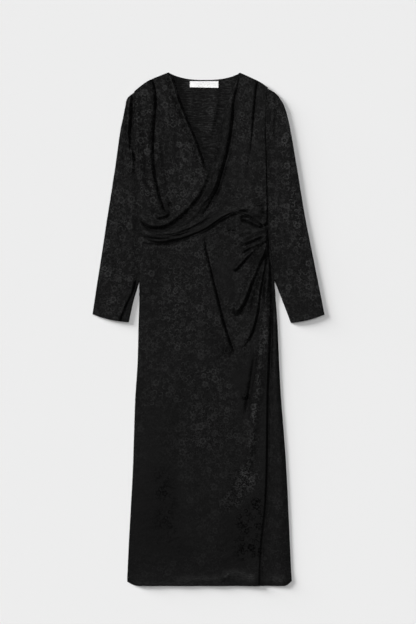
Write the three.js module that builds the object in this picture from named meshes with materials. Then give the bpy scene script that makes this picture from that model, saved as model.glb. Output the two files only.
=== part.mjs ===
// A long-sleeved wrap dress laid flat, front up, on a table.
// X runs across the dress, +Y from the hem to the neck and +Z up off the table, in millimetres.
// The origin is the middle of the dress's outline, on the table. "Right" and "left" are the wearer's,
// so the right sleeve lies at -X. Every piece is a wall of cloth made from sections worked out below.
import * as THREE from "three";

// Driving sizes
const CLOTH = 1.2; // thickness of a layer of cloth
const SEAM = 0.3; // gap between two pieces that are sewn or lie together
const PRESSED = 2.7; // height of a flattened sleeve where the body lies on it
const LIFT = PRESSED + 0.5; // how far a sleeve behind the body raises the body's side
const LIFT_EDGE = 6; // the body stays fully raised this far past the sleeve's hidden edge
const LIFT_FADE = 30; // and is down on the table this far past it
const LIFT_ENDS = { low: 60, high: 128 }; // below the first it isn't raised, as the sleeve is clear of it
const HEM_Y = -702; // the hem, with the shoulder seams' tops 1402 mm above it
const BODY_RISE = 1.6; // how far the front stands off the back away from the side seams
const BODY_RISE_WIDTH = 30;
const SLEEVE_RISE = 2.4; // extra height of a sleeve clear of the body
const SLEEVE_RISE_WIDTH = 26;
const SLEEVE_ROUND = 3; // width of the rounded fold along a sleeve's edge
const CUFF_BOW = 4; // how far the cuff's edge bows out
const LAY_GAP = 0.45; // gap between the back and a front that lies on it
const WRAP_GAP = 0.9; // gap between the wrap's upper front and what it lies on

// The body's outer edges, right side and left side, from shoulder tip to hem.
const SIDES = [
  { y: 659, right: -203, left: 162 },
  { y: 600, right: -202, left: 156 },
  { y: 560, right: -205, left: 156 },
  { y: 525, right: -207, left: 156 },
  { y: 495, right: -204, left: 157 },
  { y: 470, right: -193, left: 159 },
  { y: 448, right: -187, left: 160 },
  { y: 355, right: -188, left: 161 },
  { y: 297, right: -189, left: 163 },
  { y: 250, right: -189, left: 168 },
  { y: 200, right: -189, left: 173 },
  { y: 130, right: -189, left: 180 },
  { y: 74, right: -189, left: 184 },
  { y: 19, right: -191, left: 188 },
  { y: -95, right: -194, left: 193 },
  { y: -186, right: -200, left: 198 },
  { y: -300, right: -204, left: 207 },
  { y: -386, right: -207, left: 213 },
  { y: -500, right: -213, left: 219 },
  { y: -598, right: -218, left: 224 },
  { y: -690, right: -222, left: 228 },
];

// The left side seam, which the gathers pull round to the front. The back skirt shows outside it.
const SIDE_SEAM = [
  { y: 290, x: 161 },
  { y: 250, x: 165 },
  { y: 200, x: 169 },
  { y: 158, x: 172 },
  { y: 74, x: 174 },
  { y: -51, x: 170 },
  { y: -186, x: 165 },
  { y: -278, x: 164 },
  { y: -425, x: 161 },
  { y: -504, x: 155 },
  { y: -566, x: 147 },
  { y: -630, x: 138 },
  { y: -702, x: 132 },
];

// The top of the back: right shoulder, neck, left shoulder.
const RIGHT_SHOULDER = [
  { x: -203, y: 648 },
  { x: -186, y: 662 },
  { x: -156, y: 681 },
  { x: -110, y: 700 },
];
const BACK_NECK = [
  { x: -110, y: 700 },
  { x: -83, y: 689 },
  { x: -50, y: 682 },
  { x: -11, y: 680 },
  { x: 28, y: 682 },
  { x: 60, y: 688 },
  { x: 88, y: 699 },
];
const LEFT_SHOULDER = [
  { x: 88, y: 699 },
  { x: 118, y: 685 },
  { x: 140, y: 674 },
  { x: 162, y: 659 },
];

// The waist seam at the front, hidden by the wrap's drape. It climbs towards the gathers.
const WAIST = [
  { x: -189, y: 268 },
  { x: -133, y: 250 },
  { x: -76, y: 257 },
  { x: -34, y: 271 },
  { x: -5, y: 285 },
  { x: 43, y: 317 },
  { x: 85, y: 331 },
  { x: 125, y: 319 },
  { x: 163, y: 292 },
];
const BACK_WAIST_Y = 260;

// The long tuck down the front of the skirt, and the line it would follow on to the hem.
const TUCK = [
  { x: -16, y: 300 },
  { x: -11, y: 252 },
  { x: -4, y: 214 },
  { x: 7, y: 164 },
  { x: 16, y: 122 },
  { x: 28, y: 69 },
  { x: 42, y: 8 },
  { x: 55, y: -37 },
  { x: 66, y: -74 },
  { x: 74, y: -120 },
  { x: 84, y: -200 },
  { x: 90, y: -300 },
  { x: 72, y: -500 },
  { x: 50, y: -702 },
];

// The under front, on the wearer's right: sections from its side edge to its neckline.
const UNDER_FRONT = [
  { sideX: -203, sideY: 648, neckX: -110, neckY: 700 },
  { sideX: -202, sideY: 600, neckX: -92, neckY: 651 },
  { sideX: -205, sideY: 560, neckX: -81, neckY: 615 },
  { sideX: -207, sideY: 522, neckX: -62, neckY: 572 },
  { sideX: -200, sideY: 484, neckX: -39, neckY: 524 },
  { sideX: -187, sideY: 450, neckX: -19, neckY: 478 },
  { sideX: -187, sideY: 410, neckX: -3, neckY: 430 },
  { sideX: -188, sideY: 360, neckX: 22, neckY: 388 },
  { sideX: -188, sideY: 312, neckX: 52, neckY: 354 },
  { sideX: -189, sideY: 269, neckX: 86, neckY: 332 },
];

// The over front, on the wearer's left: sections from its neckline to its outer edge, first down the
// armhole and side seam, then along the lower edge of the drape to the right side seam.
// roll is the width of the soft fold along the neckline, and puff how high the cloth stands.
const OVER_FRONT = [
  { neckX: 88, neckY: 699, outX: 162, outY: 659, roll: 8, puff: 0.6 },
  { neckX: 73, neckY: 650, outX: 157, outY: 622, roll: 9, puff: 1.4 },
  { neckX: 56, neckY: 606, outX: 156, outY: 580, roll: 15, puff: 2.2 },
  { neckX: 37, neckY: 556, outX: 156, outY: 530, roll: 31, puff: 3 },
  { neckX: 23, neckY: 514, outX: 158, outY: 480, roll: 38, puff: 3.4 },
  { neckX: 11, neckY: 470, outX: 160, outY: 430, roll: 40, puff: 3.8 },
  { neckX: -2, neckY: 421, outX: 161, outY: 370, roll: 38, puff: 4.4 },
  { neckX: -15, neckY: 389, outX: 163, outY: 296, roll: 36, puff: 4.8 },
  { neckX: -27, neckY: 366, outX: 156, outY: 278, roll: 35, puff: 5 },
  { neckX: -39, neckY: 349, outX: 126, outY: 301, roll: 34, puff: 5.4 },
  { neckX: -55, neckY: 330, outX: 87, outY: 321, roll: 33, puff: 5.8 },
  { neckX: -72, neckY: 314, outX: 43, outY: 305, roll: 32, puff: 6.4 },
  { neckX: -95, neckY: 294, outX: 0, outY: 275, roll: 30, puff: 7 },
  { neckX: -119, neckY: 279, outX: -45, outY: 254, roll: 26, puff: 7.4 },
  { neckX: -140, neckY: 274, outX: -90, outY: 239, roll: 20, puff: 7.2 },
  { neckX: -158, neckY: 276, outX: -130, outY: 233, roll: 15, puff: 6.2 },
  { neckX: -175, neckY: 284, outX: -163, outY: 241, roll: 12, puff: 4.6 },
  { neckX: -188, neckY: 290, outX: -188, outY: 260, roll: 9, puff: 2.4 },
];

// The sleeves: sections from the armhole to the cuff. The inner edge is folded behind the body
// as far as its eleventh row.
const RIGHT_SLEEVE = [
  { outX: -197, outY: 650, inX: -168, inY: 448 },
  { outX: -221, outY: 631, inX: -163, inY: 425 },
  { outX: -228, outY: 605, inX: -160, inY: 402 },
  { outX: -234, outY: 575, inX: -158, inY: 378 },
  { outX: -240, outY: 547, inX: -157, inY: 352 },
  { outX: -247, outY: 500, inX: -158, inY: 322 },
  { outX: -254, outY: 448, inX: -160, inY: 290 },
  { outX: -261, outY: 403, inX: -163, inY: 258 },
  { outX: -270, outY: 345, inX: -168, inY: 224 },
  { outX: -279, outY: 289, inX: -175, inY: 184 },
  { outX: -289, outY: 222, inX: -184, inY: 146 },
  { outX: -299, outY: 158, inX: -195, inY: 109 },
  { outX: -308, outY: 100, inX: -206, inY: 71 },
  { outX: -317, outY: 40, inX: -218, inY: 18 },
];
const LEFT_SLEEVE = [
  { outX: 155, outY: 659, inX: 137, inY: 440 },
  { outX: 184, outY: 643, inX: 135, inY: 418 },
  { outX: 205, outY: 613, inX: 133, inY: 395 },
  { outX: 217, outY: 575, inX: 131, inY: 370 },
  { outX: 226, outY: 532, inX: 130, inY: 345 },
  { outX: 235, outY: 480, inX: 131, inY: 316 },
  { outX: 245, outY: 421, inX: 134, inY: 286 },
  { outX: 253, outY: 370, inX: 138, inY: 256 },
  { outX: 264, outY: 305, inX: 145, inY: 222 },
  { outX: 275, outY: 250, inX: 154, inY: 188 },
  { outX: 287, outY: 190, inX: 166, inY: 156 },
  { outX: 298, outY: 135, inX: 184, inY: 122 },
  { outX: 308, outY: 85, inX: 204, inY: 71 },
  { outX: 317, outY: 39, inX: 225, inY: 16 },
];

// Folds. Each runs from one end of its line to the other and dies away at both. A ridge stands up
// along its line; a step drops off its line's right-hand side, looking along it, and slopes away
// on the left-hand side over its reach.
const UNDER_FOLDS = [
  {
    name: "inner shoulder pleat",
    kind: "step",
    height: 4.2,
    width: 9,
    reach: 34,
    line: [[-113, 327], [-128, 358], [-146, 427], [-150, 498], [-143, 590], [-150, 640], [-157, 668]],
  },
  {
    name: "crumple above the wrap",
    kind: "ridge",
    height: 2.6,
    width: 9,
    line: [[-150, 318], [-134, 311], [-112, 318]],
  },
  {
    name: "bust fold",
    kind: "ridge",
    height: 2,
    width: 20,
    line: [[-178, 560], [-176, 480], [-170, 400], [-158, 330]],
  },
];
const OVER_FOLDS = [
  {
    name: "outer shoulder pleat",
    kind: "step",
    height: 3.4,
    width: 9,
    reach: 26,
    line: [[112, 482], [116, 520], [122, 570], [126, 620], [133, 662]],
  },
  {
    name: "side crumple",
    kind: "ridge",
    height: 2.4,
    width: 10,
    line: [[92, 306], [112, 304], [134, 296]],
  },
  {
    name: "drape crease",
    kind: "ridge",
    height: 2.2,
    width: 9,
    line: [[-150, 256], [-108, 256], [-66, 270], [-40, 286]],
  },
];
const SKIRT_FOLDS = [
  {
    name: "released tuck",
    kind: "step",
    height: 4.4,
    width: 8,
    reach: 48,
    line: [[66, -74], [55, -37], [42, 8], [28, 69], [16, 122], [7, 164], [-4, 214], [-11, 252]],
  },
  {
    name: "first gather",
    kind: "ridge",
    height: 4,
    width: 9,
    line: [[160, 252], [133, 258], [104, 252]],
  },
  {
    name: "second gather",
    kind: "ridge",
    height: 4,
    width: 9,
    line: [[160, 246], [128, 240], [98, 222], [76, 200]],
  },
  {
    name: "third gather",
    kind: "ridge",
    height: 4.4,
    width: 10,
    line: [[161, 238], [134, 214], [104, 180], [78, 138]],
  },
  {
    name: "fourth gather",
    kind: "ridge",
    height: 5.4,
    width: 12,
    line: [[160, 224], [146, 176], [124, 112], [100, 56], [82, 26]],
  },
  {
    name: "fifth gather",
    kind: "ridge",
    height: 4.6,
    width: 12,
    line: [[161, 214], [158, 150], [151, 80], [140, 20], [124, -34], [104, -66]],
  },
  {
    name: "side ridge",
    kind: "ridge",
    height: 3,
    width: 16,
    line: [[158, 60], [146, -40], [134, -130], [124, -250], [114, -350], [98, -470]],
  },
  {
    name: "hollow beside the seam",
    kind: "ridge",
    height: -1,
    width: 14,
    line: [[140, -260], [134, -400], [122, -520], [108, -610]],
  },
];
const SLEEVE_FOLDS = [
  {
    name: "right elbow crease",
    kind: "ridge",
    height: 1.6,
    width: 16,
    line: [[-232, 480], [-246, 380], [-262, 290], [-270, 220]],
  },
  {
    name: "left sleeve head crease",
    kind: "ridge",
    height: 1.8,
    width: 15,
    line: [[196, 590], [206, 510], [218, 420], [232, 330]],
  },
  {
    name: "right cuff seam",
    kind: "step",
    height: 1.7,
    width: 8,
    reach: 30,
    line: [[-198, 132], [-207, 110], [-220, 80], [-234, 48], [-246, 20]],
  },
];

// Neck label
const LABEL = { left: -51, right: 27, top: 676.5, bottom: 658, thickness: 0.7 };

const clamp = THREE.MathUtils.clamp;
const lerp = THREE.MathUtils.lerp;
const smoothstep = THREE.MathUtils.smoothstep;

// A smooth function through a table: the value in column `to` for any place in column `from`.
function column(rows, from, to) {
  const sorted = [...rows].sort((a, b) => a[from] - b[from]);
  const last = sorted.length - 1;
  const slopes = sorted.map((_, i) => {
    const before = sorted[Math.max(i - 1, 0)];
    const after = sorted[Math.min(i + 1, last)];
    return (after[to] - before[to]) / (after[from] - before[from]);
  });
  return (place) => {
    let i = 0;
    while (i < last - 1 && place > sorted[i + 1][from]) i += 1;
    const span = sorted[i + 1][from] - sorted[i][from];
    const t = clamp((place - sorted[i][from]) / span, 0, 1);
    const a = sorted[i][to];
    const b = sorted[i + 1][to];
    const rest = (1 - t) * (slopes[i] * span * (1 - t) - slopes[i + 1] * span * t);
    return a + (b - a) * t * t * (3 - 2 * t) + t * rest;
  };
}

// The point at a share of the way through a table's rows, in two of its columns.
function pathOf(rows, xKey, yKey) {
  const curve = new THREE.SplineCurve(rows.map((row) => new THREE.Vector2(row[xKey], row[yKey])));
  return (share) => curve.getPoint(clamp(share, 0, 1));
}

const rightEdge = column(SIDES, "y", "right");
const leftEdge = column(SIDES, "y", "left");
const sideSeam = column(SIDE_SEAM, "y", "x");
const waistSeam = column(WAIST, "x", "y");
const tuckLine = column(TUCK, "y", "x");
const rightShoulder = column(RIGHT_SHOULDER, "x", "y");
const backNeck = column(BACK_NECK, "x", "y");
const leftShoulder = column(LEFT_SHOULDER, "x", "y");
const underNeckline = column(UNDER_FRONT, "neckY", "neckX");

// The edge of each sleeve behind the body: straight along the armhole, then down the folded inner edge.
function hiddenEdge(sleeve) {
  const { outX, outY, inX, inY } = sleeve[0];
  const armhole = [0, 0.3, 0.6, 0.9].map((s) => ({ x: lerp(outX, inX, s), y: lerp(outY, inY, s) }));
  const inner = sleeve.map((row) => ({ x: row.inX, y: row.inY }));
  return column([...armhole, ...inner], "y", "x");
}
const rightHidden = hiddenEdge(RIGHT_SLEEVE);
const leftHidden = hiddenEdge(LEFT_SLEEVE);

// How far the back stands off the table: raised where a sleeve is folded behind it.
function lift(x, y) {
  const pastRight = x - rightHidden(y);
  const pastLeft = leftHidden(y) - x;
  const over = (past) => 1 - smoothstep(past, LIFT_EDGE, LIFT_FADE);
  const along = smoothstep(y, LIFT_ENDS.low, LIFT_ENDS.high);
  return LIFT * along * Math.max(over(pastRight), over(pastLeft));
}

// The back's upper face, and the upper face of the front's first layer lying on it.
const seat = (x, y) => lift(x, y) + CLOTH;
function firstLayer(x, y) {
  const fromEdge = Math.min(x - rightEdge(y), leftEdge(y) - x);
  return seat(x, y) + LAY_GAP + CLOTH + BODY_RISE * smoothstep(fromEdge, 0, BODY_RISE_WIDTH);
}

// How much a list of folds adds to the height at a point.
const FOLD_SAMPLES = 40;
const FOLD_FADE = 0.22; // share of its line over which a fold dies away at each end
function foldHeights(folds) {
  const lines = folds.map((fold) => {
    const points = fold.line.map(([x, y]) => new THREE.Vector2(x, y));
    return { ...fold, points: new THREE.SplineCurve(points).getPoints(FOLD_SAMPLES) };
  });
  return (x, y) => {
    let total = 0;
    for (const { kind, height, width, reach, points } of lines) {
      let best = { distance: Infinity, share: 0, side: 1 };
      for (let i = 0; i < FOLD_SAMPLES; i += 1) {
        const a = points[i];
        const b = points[i + 1];
        const along = { x: b.x - a.x, y: b.y - a.y };
        const off = { x: x - a.x, y: y - a.y };
        const length2 = along.x ** 2 + along.y ** 2;
        const t = clamp((off.x * along.x + off.y * along.y) / length2, 0, 1);
        const distance = Math.hypot(off.x - along.x * t, off.y - along.y * t);
        const side = Math.sign(along.x * off.y - along.y * off.x) || 1;
        if (distance < best.distance) best = { distance, share: (i + t) / FOLD_SAMPLES, side };
      }
      const fade = smoothstep(Math.min(best.share, 1 - best.share), 0, FOLD_FADE);
      if (kind === "ridge") {
        total += height * fade * (1 - smoothstep(best.distance, 0, width));
      } else {
        const past = best.distance * best.side;
        const cliff = smoothstep(past, -width / 2, width / 2);
        total += height * fade * cliff * (1 - smoothstep(past, 0, reach));
      }
    }
    return total;
  };
}
const underFold = foldHeights(UNDER_FOLDS);
const overFold = foldHeights(OVER_FOLDS);
const skirtFold = foldHeights(SKIRT_FOLDS);
const sleeveFold = foldHeights(SLEEVE_FOLDS);

// The quarter-round that a soft edge of that width makes: 0 at the edge and 1 past its width.
const rounded = (distance, width) => Math.sqrt(1 - (1 - clamp(distance / width, 0, 1)) ** 2);

// Shares from 0 to 1 that include each stop, with `count` steps shared out between them.
function stopped(stops, count) {
  const all = [0, ...stops, 1];
  const shares = [0];
  for (let i = 1; i < all.length; i += 1) {
    const steps = Math.max(1, Math.round((all[i] - all[i - 1]) * count));
    for (let k = 1; k <= steps; k += 1) shares.push(lerp(all[i - 1], all[i], k / steps));
  }
  return shares;
}

// A closed wall between two grids of points of the same size. outer[row][column] is the face whose
// columns run anticlockwise from its rows, seen from outside. Wrapped grids close on themselves.
function wallBetween(outer, inner, wrapped = false) {
  const rows = outer.length;
  const columns = outer[0].length;
  const positions = [...outer.flat(), ...inner.flat()].flatMap((p) => [p.x, p.y, p.z]);
  const at = (layer, row, col) => layer * rows * columns + row * columns + (col % columns);
  const index = [];
  const quad = (a, b, c, d) => index.push(a, b, c, a, c, d);
  const spans = wrapped ? columns : columns - 1;
  for (let r = 0; r < rows - 1; r += 1) {
    for (let c = 0; c < spans; c += 1) {
      quad(at(0, r, c), at(0, r + 1, c), at(0, r + 1, c + 1), at(0, r, c + 1));
      quad(at(1, r, c), at(1, r, c + 1), at(1, r + 1, c + 1), at(1, r + 1, c));
    }
  }
  for (let c = 0; c < spans; c += 1) {
    quad(at(0, 0, c), at(0, 0, c + 1), at(1, 0, c + 1), at(1, 0, c));
    quad(at(0, rows - 1, c + 1), at(0, rows - 1, c), at(1, rows - 1, c), at(1, rows - 1, c + 1));
  }
  for (let r = 0; r < rows - 1 && !wrapped; r += 1) {
    const end = columns - 1;
    quad(at(0, r + 1, 0), at(0, r, 0), at(1, r, 0), at(1, r + 1, 0));
    quad(at(0, r, end), at(0, r + 1, end), at(1, r + 1, end), at(1, r, end));
  }
  const geometry = new THREE.BufferGeometry();
  geometry.setAttribute("position", new THREE.Float32BufferAttribute(positions, 3));
  geometry.setIndex(index);
  return geometry;
}

// A wall that follows the height of its lower face. place(u, v) is a point in plan, with u across
// from -X and v down from +Y, and under(x, y, u, v) is the height there. Where the cloth slopes,
// the wall is made taller so that its true thickness stays the same.
const SLOPE_STEP = 2;
const STEEPEST = 2;
function layer(acrossShares, downShares, place, under) {
  const lower = downShares.map((v) =>
    acrossShares.map((u) => {
      const { x, y } = place(u, v);
      return new THREE.Vector3(x, y, under(x, y, u, v));
    }),
  );
  const upper = lower.map((row, r) =>
    row.map((p, c) => {
      const slopeOf = (a, b) => (b.z - a.z) / Math.hypot(b.x - a.x, b.y - a.y);
      const across = slopeOf(row[Math.max(c - 1, 0)], row[Math.min(c + 1, row.length - 1)]);
      const above = lower[Math.max(r - 1, 0)][c];
      const below = lower[Math.min(r + 1, lower.length - 1)][c];
      const stretch = Math.min(Math.hypot(1, across, slopeOf(above, below)), STEEPEST);
      return new THREE.Vector3(p.x, p.y, p.z + CLOTH * stretch);
    }),
  );
  return wallBetween(upper, lower);
}

// Shares of the width where the backs' points lie near each side, close where a sleeve lifts them.
const BACK_SIDE = [0, 0.02, 0.04, 0.06, 0.085, 0.11, 0.14, 0.17, 0.2];

// Back bodice: from the shoulders and neck down to the back waist, resting on the table and on
// the sleeves folded behind it.
function backBodice() {
  const tipRight = RIGHT_SHOULDER[0];
  const tipLeft = LEFT_SHOULDER[LEFT_SHOULDER.length - 1];
  const topOf = (x) => {
    if (x < BACK_NECK[0].x) return rightShoulder(x);
    return x > LEFT_SHOULDER[0].x ? leftShoulder(x) : backNeck(x);
  };
  const neckShare = (x) => (x - tipRight.x) / (tipLeft.x - tipRight.x);
  const across = [...BACK_SIDE, neckShare(BACK_NECK[0].x), 0.35, 0.44, 0.55, 0.66, 0.75];
  across.push(neckShare(LEFT_SHOULDER[0].x), ...BACK_SIDE.map((share) => 1 - share).reverse());
  const place = (u, v) => {
    const top = topOf(lerp(tipRight.x, tipLeft.x, u));
    const y = lerp(top, BACK_WAIST_Y, v);
    const level = Math.min(y, lerp(tipRight.y, tipLeft.y, u));
    return { x: lerp(rightEdge(level), leftEdge(level), u), y };
  };
  return layer(across, stopped([], 18), place, lift);
}

// Back skirt: flat on the table, then folded round the wearer's left side to lie under the front's
// edge. Each section runs along the table, round the fold and back.
const FOLD_RADIUS = PRESSED / 2;
const UNDERLAP = 6; // how far it goes under the front skirt
const FOLD_ANGLES = [0.3, 0.5, 0.7].map((share) => share * Math.PI);
const BACK_SKIRT_ACROSS = [...BACK_SIDE, 0.32, 0.5, 0.68, 0.8, 0.84, 0.88, 0.92, 0.96];
const BACK_SKIRT_ROWS = 22;
function hemY(x) {
  const rightCorner = clamp((-190 - x) / 30, 0, 1);
  const leftCorner = clamp((x - 205) / 21, 0, 1);
  return HEM_Y + 11 * rightCorner ** 2 + 13 * leftCorner ** 2;
}
function backSkirt() {
  const outer = [];
  const inner = [];
  for (let r = 0; r <= BACK_SKIRT_ROWS; r += 1) {
    const down = r / BACK_SKIRT_ROWS;
    const level = lerp(BACK_WAIST_Y - SEAM, HEM_Y, 0.4 * down + 0.6 * down ** 2.5);
    const start = rightEdge(level);
    const turn = leftEdge(level) - FOLD_RADIUS;
    const end = Math.min(sideSeam(level) - UNDERLAP, turn - 2);
    const section = (radius, thickness) => {
      const points = [];
      const add = (x, z) => {
        const y = lerp(level, hemY(x), down ** 12);
        points.push(new THREE.Vector3(x, y, z + lift(x, y)));
      };
      for (const share of BACK_SKIRT_ACROSS) add(lerp(start, turn, share), thickness);
      for (const angle of FOLD_ANGLES) {
        add(turn + radius * Math.sin(angle), FOLD_RADIUS - radius * Math.cos(angle));
      }
      for (const share of [0, 0.34, 0.67, 1]) add(lerp(turn, end, share), PRESSED - thickness);
      return points;
    };
    outer.push(section(FOLD_RADIUS, 0));
    inner.push(section(FOLD_RADIUS - CLOTH, CLOTH));
  }
  return wallBetween(inner, outer);
}

// Under front: gathered into two pleats at the shoulder, its neckline a soft edge, and its lower
// left part hidden by the over front.
const UNDER_EDGE = 12;
const UNDER_NECK_RISE = 2.4;
const WAIST_GAP = 1.5;
function underFront() {
  const side = pathOf(UNDER_FRONT, "sideX", "sideY");
  const neck = pathOf(UNDER_FRONT, "neckX", "neckY");
  const place = (u, v) => {
    const a = side(v);
    const b = neck(v);
    const x = lerp(a.x, b.x, u);
    const y = lerp(a.y, b.y, u);
    const shoulder = (rightShoulder(x) - y) * (1 - v) ** 5;
    const waist = (waistSeam(x) + WAIST_GAP - y) * v ** 8;
    return { x, y: y + shoulder + waist };
  };
  const under = (x, y, u, v) => {
    const toNeck = (neck(v).x - side(v).x) * (1 - u);
    const base = firstLayer(x, y) - CLOTH;
    const rise = UNDER_NECK_RISE * rounded(toNeck, UNDER_EDGE) * smoothstep(v, 0, 0.12);
    const covered = smoothstep(y - waistSeam(x), 40, 90) * smoothstep(neck(v).y, 455, 520);
    return base + (rise + underFold(x, y)) * covered;
  };
  return layer(stopped([], 18), stopped([], 22), place, under);
}

// Front skirt: from the waist seam to the hem and from the right side seam to the left one, with
// one long tuck released below the hip and the gathers that run into the left side seam.
const SKIRT_SIDE_RISE = 1.9; // step up where the left side seam lies on the back skirt
const SKIRT_TO_TUCK = [0, 0.02, 0.05, 0.075, 0.1, 0.125, 0.15, 0.2, 0.27, 0.34, 0.41, 0.46, 0.485];
const SKIRT_TO_SEAM = [0.5, 0.515, 0.55, 0.59, 0.64, 0.69, 0.74, 0.79, 0.84, 0.89, 0.94, 0.98, 1];
const SKIRT_ROWS = 34;
const HEM_RIPPLE = { height: 0.9, length: 92, depth: 60 };
function skirtBase(x, y) {
  const fromSeam = sideSeam(y) - x;
  return firstLayer(x, y) - CLOTH + SKIRT_SIDE_RISE * (1 - smoothstep(fromSeam, 10, 50));
}
function frontSkirt() {
  const place = (u, v) => {
    const level = lerp(300, HEM_Y, v);
    const right = rightEdge(Math.min(level, 268));
    const tuck = tuckLine(level);
    const left = sideSeam(level);
    const x = u < 0.5 ? lerp(right, tuck, u * 2) : lerp(tuck, left, u * 2 - 1);
    return { x, y: lerp(waistSeam(x), hemY(x), v) };
  };
  const under = (x, y) => {
    const nearHem = 1 - smoothstep(y - HEM_Y, 0, HEM_RIPPLE.depth);
    const ripple = HEM_RIPPLE.height * nearHem * (1 + Math.sin((x / HEM_RIPPLE.length) * 2 * Math.PI));
    const open = smoothstep(waistSeam(x) - y, 16, 40);
    const fromRight = smoothstep(x - rightEdge(y), 0, BODY_RISE_WIDTH);
    return skirtBase(x, y) + (ripple * fromRight + skirtFold(x, y)) * open;
  };
  const down = Array.from({ length: SKIRT_ROWS + 1 }, (_, i) => i / SKIRT_ROWS);
  const closeAtWaist = down.map((share) => 0.52 * share + 0.48 * share ** 3);
  return layer([...SKIRT_TO_TUCK, ...SKIRT_TO_SEAM], closeAtWaist, place, under);
}

// Over front: from the left shoulder down and across to the right side seam. Its neckline is a soft
// roll, and its lower edge turns under in a drape that hangs over the waist seam.
const OVER_EDGE = 10;
const ROLL_HEIGHT = 3;
function overFront() {
  const neck = pathOf(OVER_FRONT, "neckX", "neckY");
  const out = pathOf(OVER_FRONT, "outX", "outY");
  const sizes = pathOf(OVER_FRONT, "roll", "puff");
  const place = (u, v) => {
    const a = neck(v);
    const b = out(v);
    const x = lerp(a.x, b.x, u);
    const y = lerp(a.y, b.y, u);
    const shoulder = (leftShoulder(x) - y) * (1 - v) ** 12;
    return { x, y: y + shoulder };
  };
  const under = (x, y, u, v) => {
    const width = neck(v).distanceTo(out(v));
    const { x: roll, y: puff } = sizes(v);
    const pastUnderFront = x - underNeckline(y);
    const onUnderFront = 1 - smoothstep(pastUnderFront, 8, 45);
    const onSkirt = 1 - smoothstep(y - waistSeam(x), 6, 36);
    const onBodice = lerp(seat(x, y) + LAY_GAP, firstLayer(x, y) + WRAP_GAP, onUnderFront);
    const base = lerp(onBodice, skirtBase(x, y) + CLOTH + WRAP_GAP, onSkirt);
    const edges = rounded(u * width, OVER_EDGE) * rounded((1 - u) * width, OVER_EDGE * 1.5);
    const ends = smoothstep(v, 0, 0.06);
    const fromNeck = (u * width) / roll;
    const rollShape = ROLL_HEIGHT * Math.sin(clamp(fromNeck, 0, 1) * Math.PI) * smoothstep(v, 0.1, 0.25);
    return base + (puff + rollShape) * edges * ends + overFold(x, y) * edges;
  };
  return layer(stopped([0.12, 0.25], 18), stopped([], 32), place, under);
}

// A sleeve: a tube pressed flat, open at the armhole and the cuff. `outward` is -1 for the wearer's
// right and 1 for the left. Its edges are rounded folds.
const SLEEVE_TOP = [0.012, 0.04, 0.12, 0.22, 0.34, 0.46, 0.58, 0.7, 0.82, 0.93, 0.985];
const SLEEVE_BOTTOM = [0.985, 0.9, 0.5, 0.1, 0.012];
const SLEEVE_ROWS = 20;
function sleeve(table, bodyEdge, outward) {
  const outEdge = pathOf(table, "outX", "outY");
  const inEdge = pathOf(table, "inX", "inY");
  const ringAt = (share, inset) => {
    const a = outEdge(share);
    const b = inEdge(share);
    const width = a.distanceTo(b);
    const bow = CUFF_BOW * share ** 10;
    const middle = FOLD_RADIUS;
    const ring = [];
    const add = (across, up) => {
      const along = inset + across * (width - 2 * inset);
      const s = along / width;
      const x = lerp(a.x, b.x, s);
      const y = lerp(a.y, b.y, s) - bow * Math.sin(s * Math.PI);
      const clear = smoothstep((x - bodyEdge(y)) * outward, 2, SLEEVE_RISE_WIDTH);
      const nearEdge = Math.min(along, width - along) - inset;
      const round = rounded(nearEdge, SLEEVE_ROUND - inset / 2);
      const top = PRESSED + (SLEEVE_RISE + sleeveFold(x, y)) * clear;
      const high = lerp(middle, top - inset, round);
      const low = lerp(middle, inset, round);
      ring.push(new THREE.Vector3(x, y, up ? high : low));
    };
    add(0, true);
    for (const across of SLEEVE_TOP) add(across, true);
    add(1, true);
    for (const across of SLEEVE_BOTTOM) add(across, false);
    return outward < 0 ? ring : ring.reverse();
  };
  const shares = Array.from({ length: SLEEVE_ROWS + 1 }, (_, i) => i / SLEEVE_ROWS);
  const rings = (inset) => shares.map((share) => ringAt(share, inset));
  return wallBetween(rings(0), rings(CLOTH), true);
}

// Neck label, flat on the inside of the back just below the neckline.
function neckLabel() {
  const { left, right, top, bottom, thickness } = LABEL;
  const label = new THREE.BoxGeometry(right - left, top - bottom, thickness);
  const height = CLOTH + SEAM + thickness / 2;
  return label.translate((left + right) / 2, (top + bottom) / 2, height);
}

const satin = (colour, roughness) => new THREE.MeshStandardMaterial({ color: colour, roughness });

const dress = new THREE.Group();
function addPiece(name, geometry, material) {
  const mesh = new THREE.Mesh(geometry, material);
  mesh.name = name;
  dress.add(mesh);
}
addPiece("bodice_back", backBodice(), satin(0x191919, 0.6));
addPiece("bodice_front_under", underFront(), satin(0x1b1b1b, 0.55));
addPiece("bodice_front_over", overFront(), satin(0x1b1b1b, 0.55));
addPiece("skirt_back", backSkirt(), satin(0x191919, 0.6));
addPiece("skirt_front", frontSkirt(), satin(0x1b1b1b, 0.55));
addPiece("sleeve_right", sleeve(RIGHT_SLEEVE, rightEdge, -1), satin(0x1b1b1b, 0.55));
addPiece("sleeve_left", sleeve(LEFT_SLEEVE, leftEdge, 1), satin(0x1b1b1b, 0.55));
addPiece("neck_label", neckLabel(), new THREE.MeshStandardMaterial({ color: 0xf2f2f4, roughness: 0.8 }));

export default dress;
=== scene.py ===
"""The looks of the wrap dress: each piece of cloth as a thin shell on its CAD solid's form, with its
creases, its flower-weave jacquard, stitching and a blank neck label, on a plain pale floor."""
import math

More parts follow.
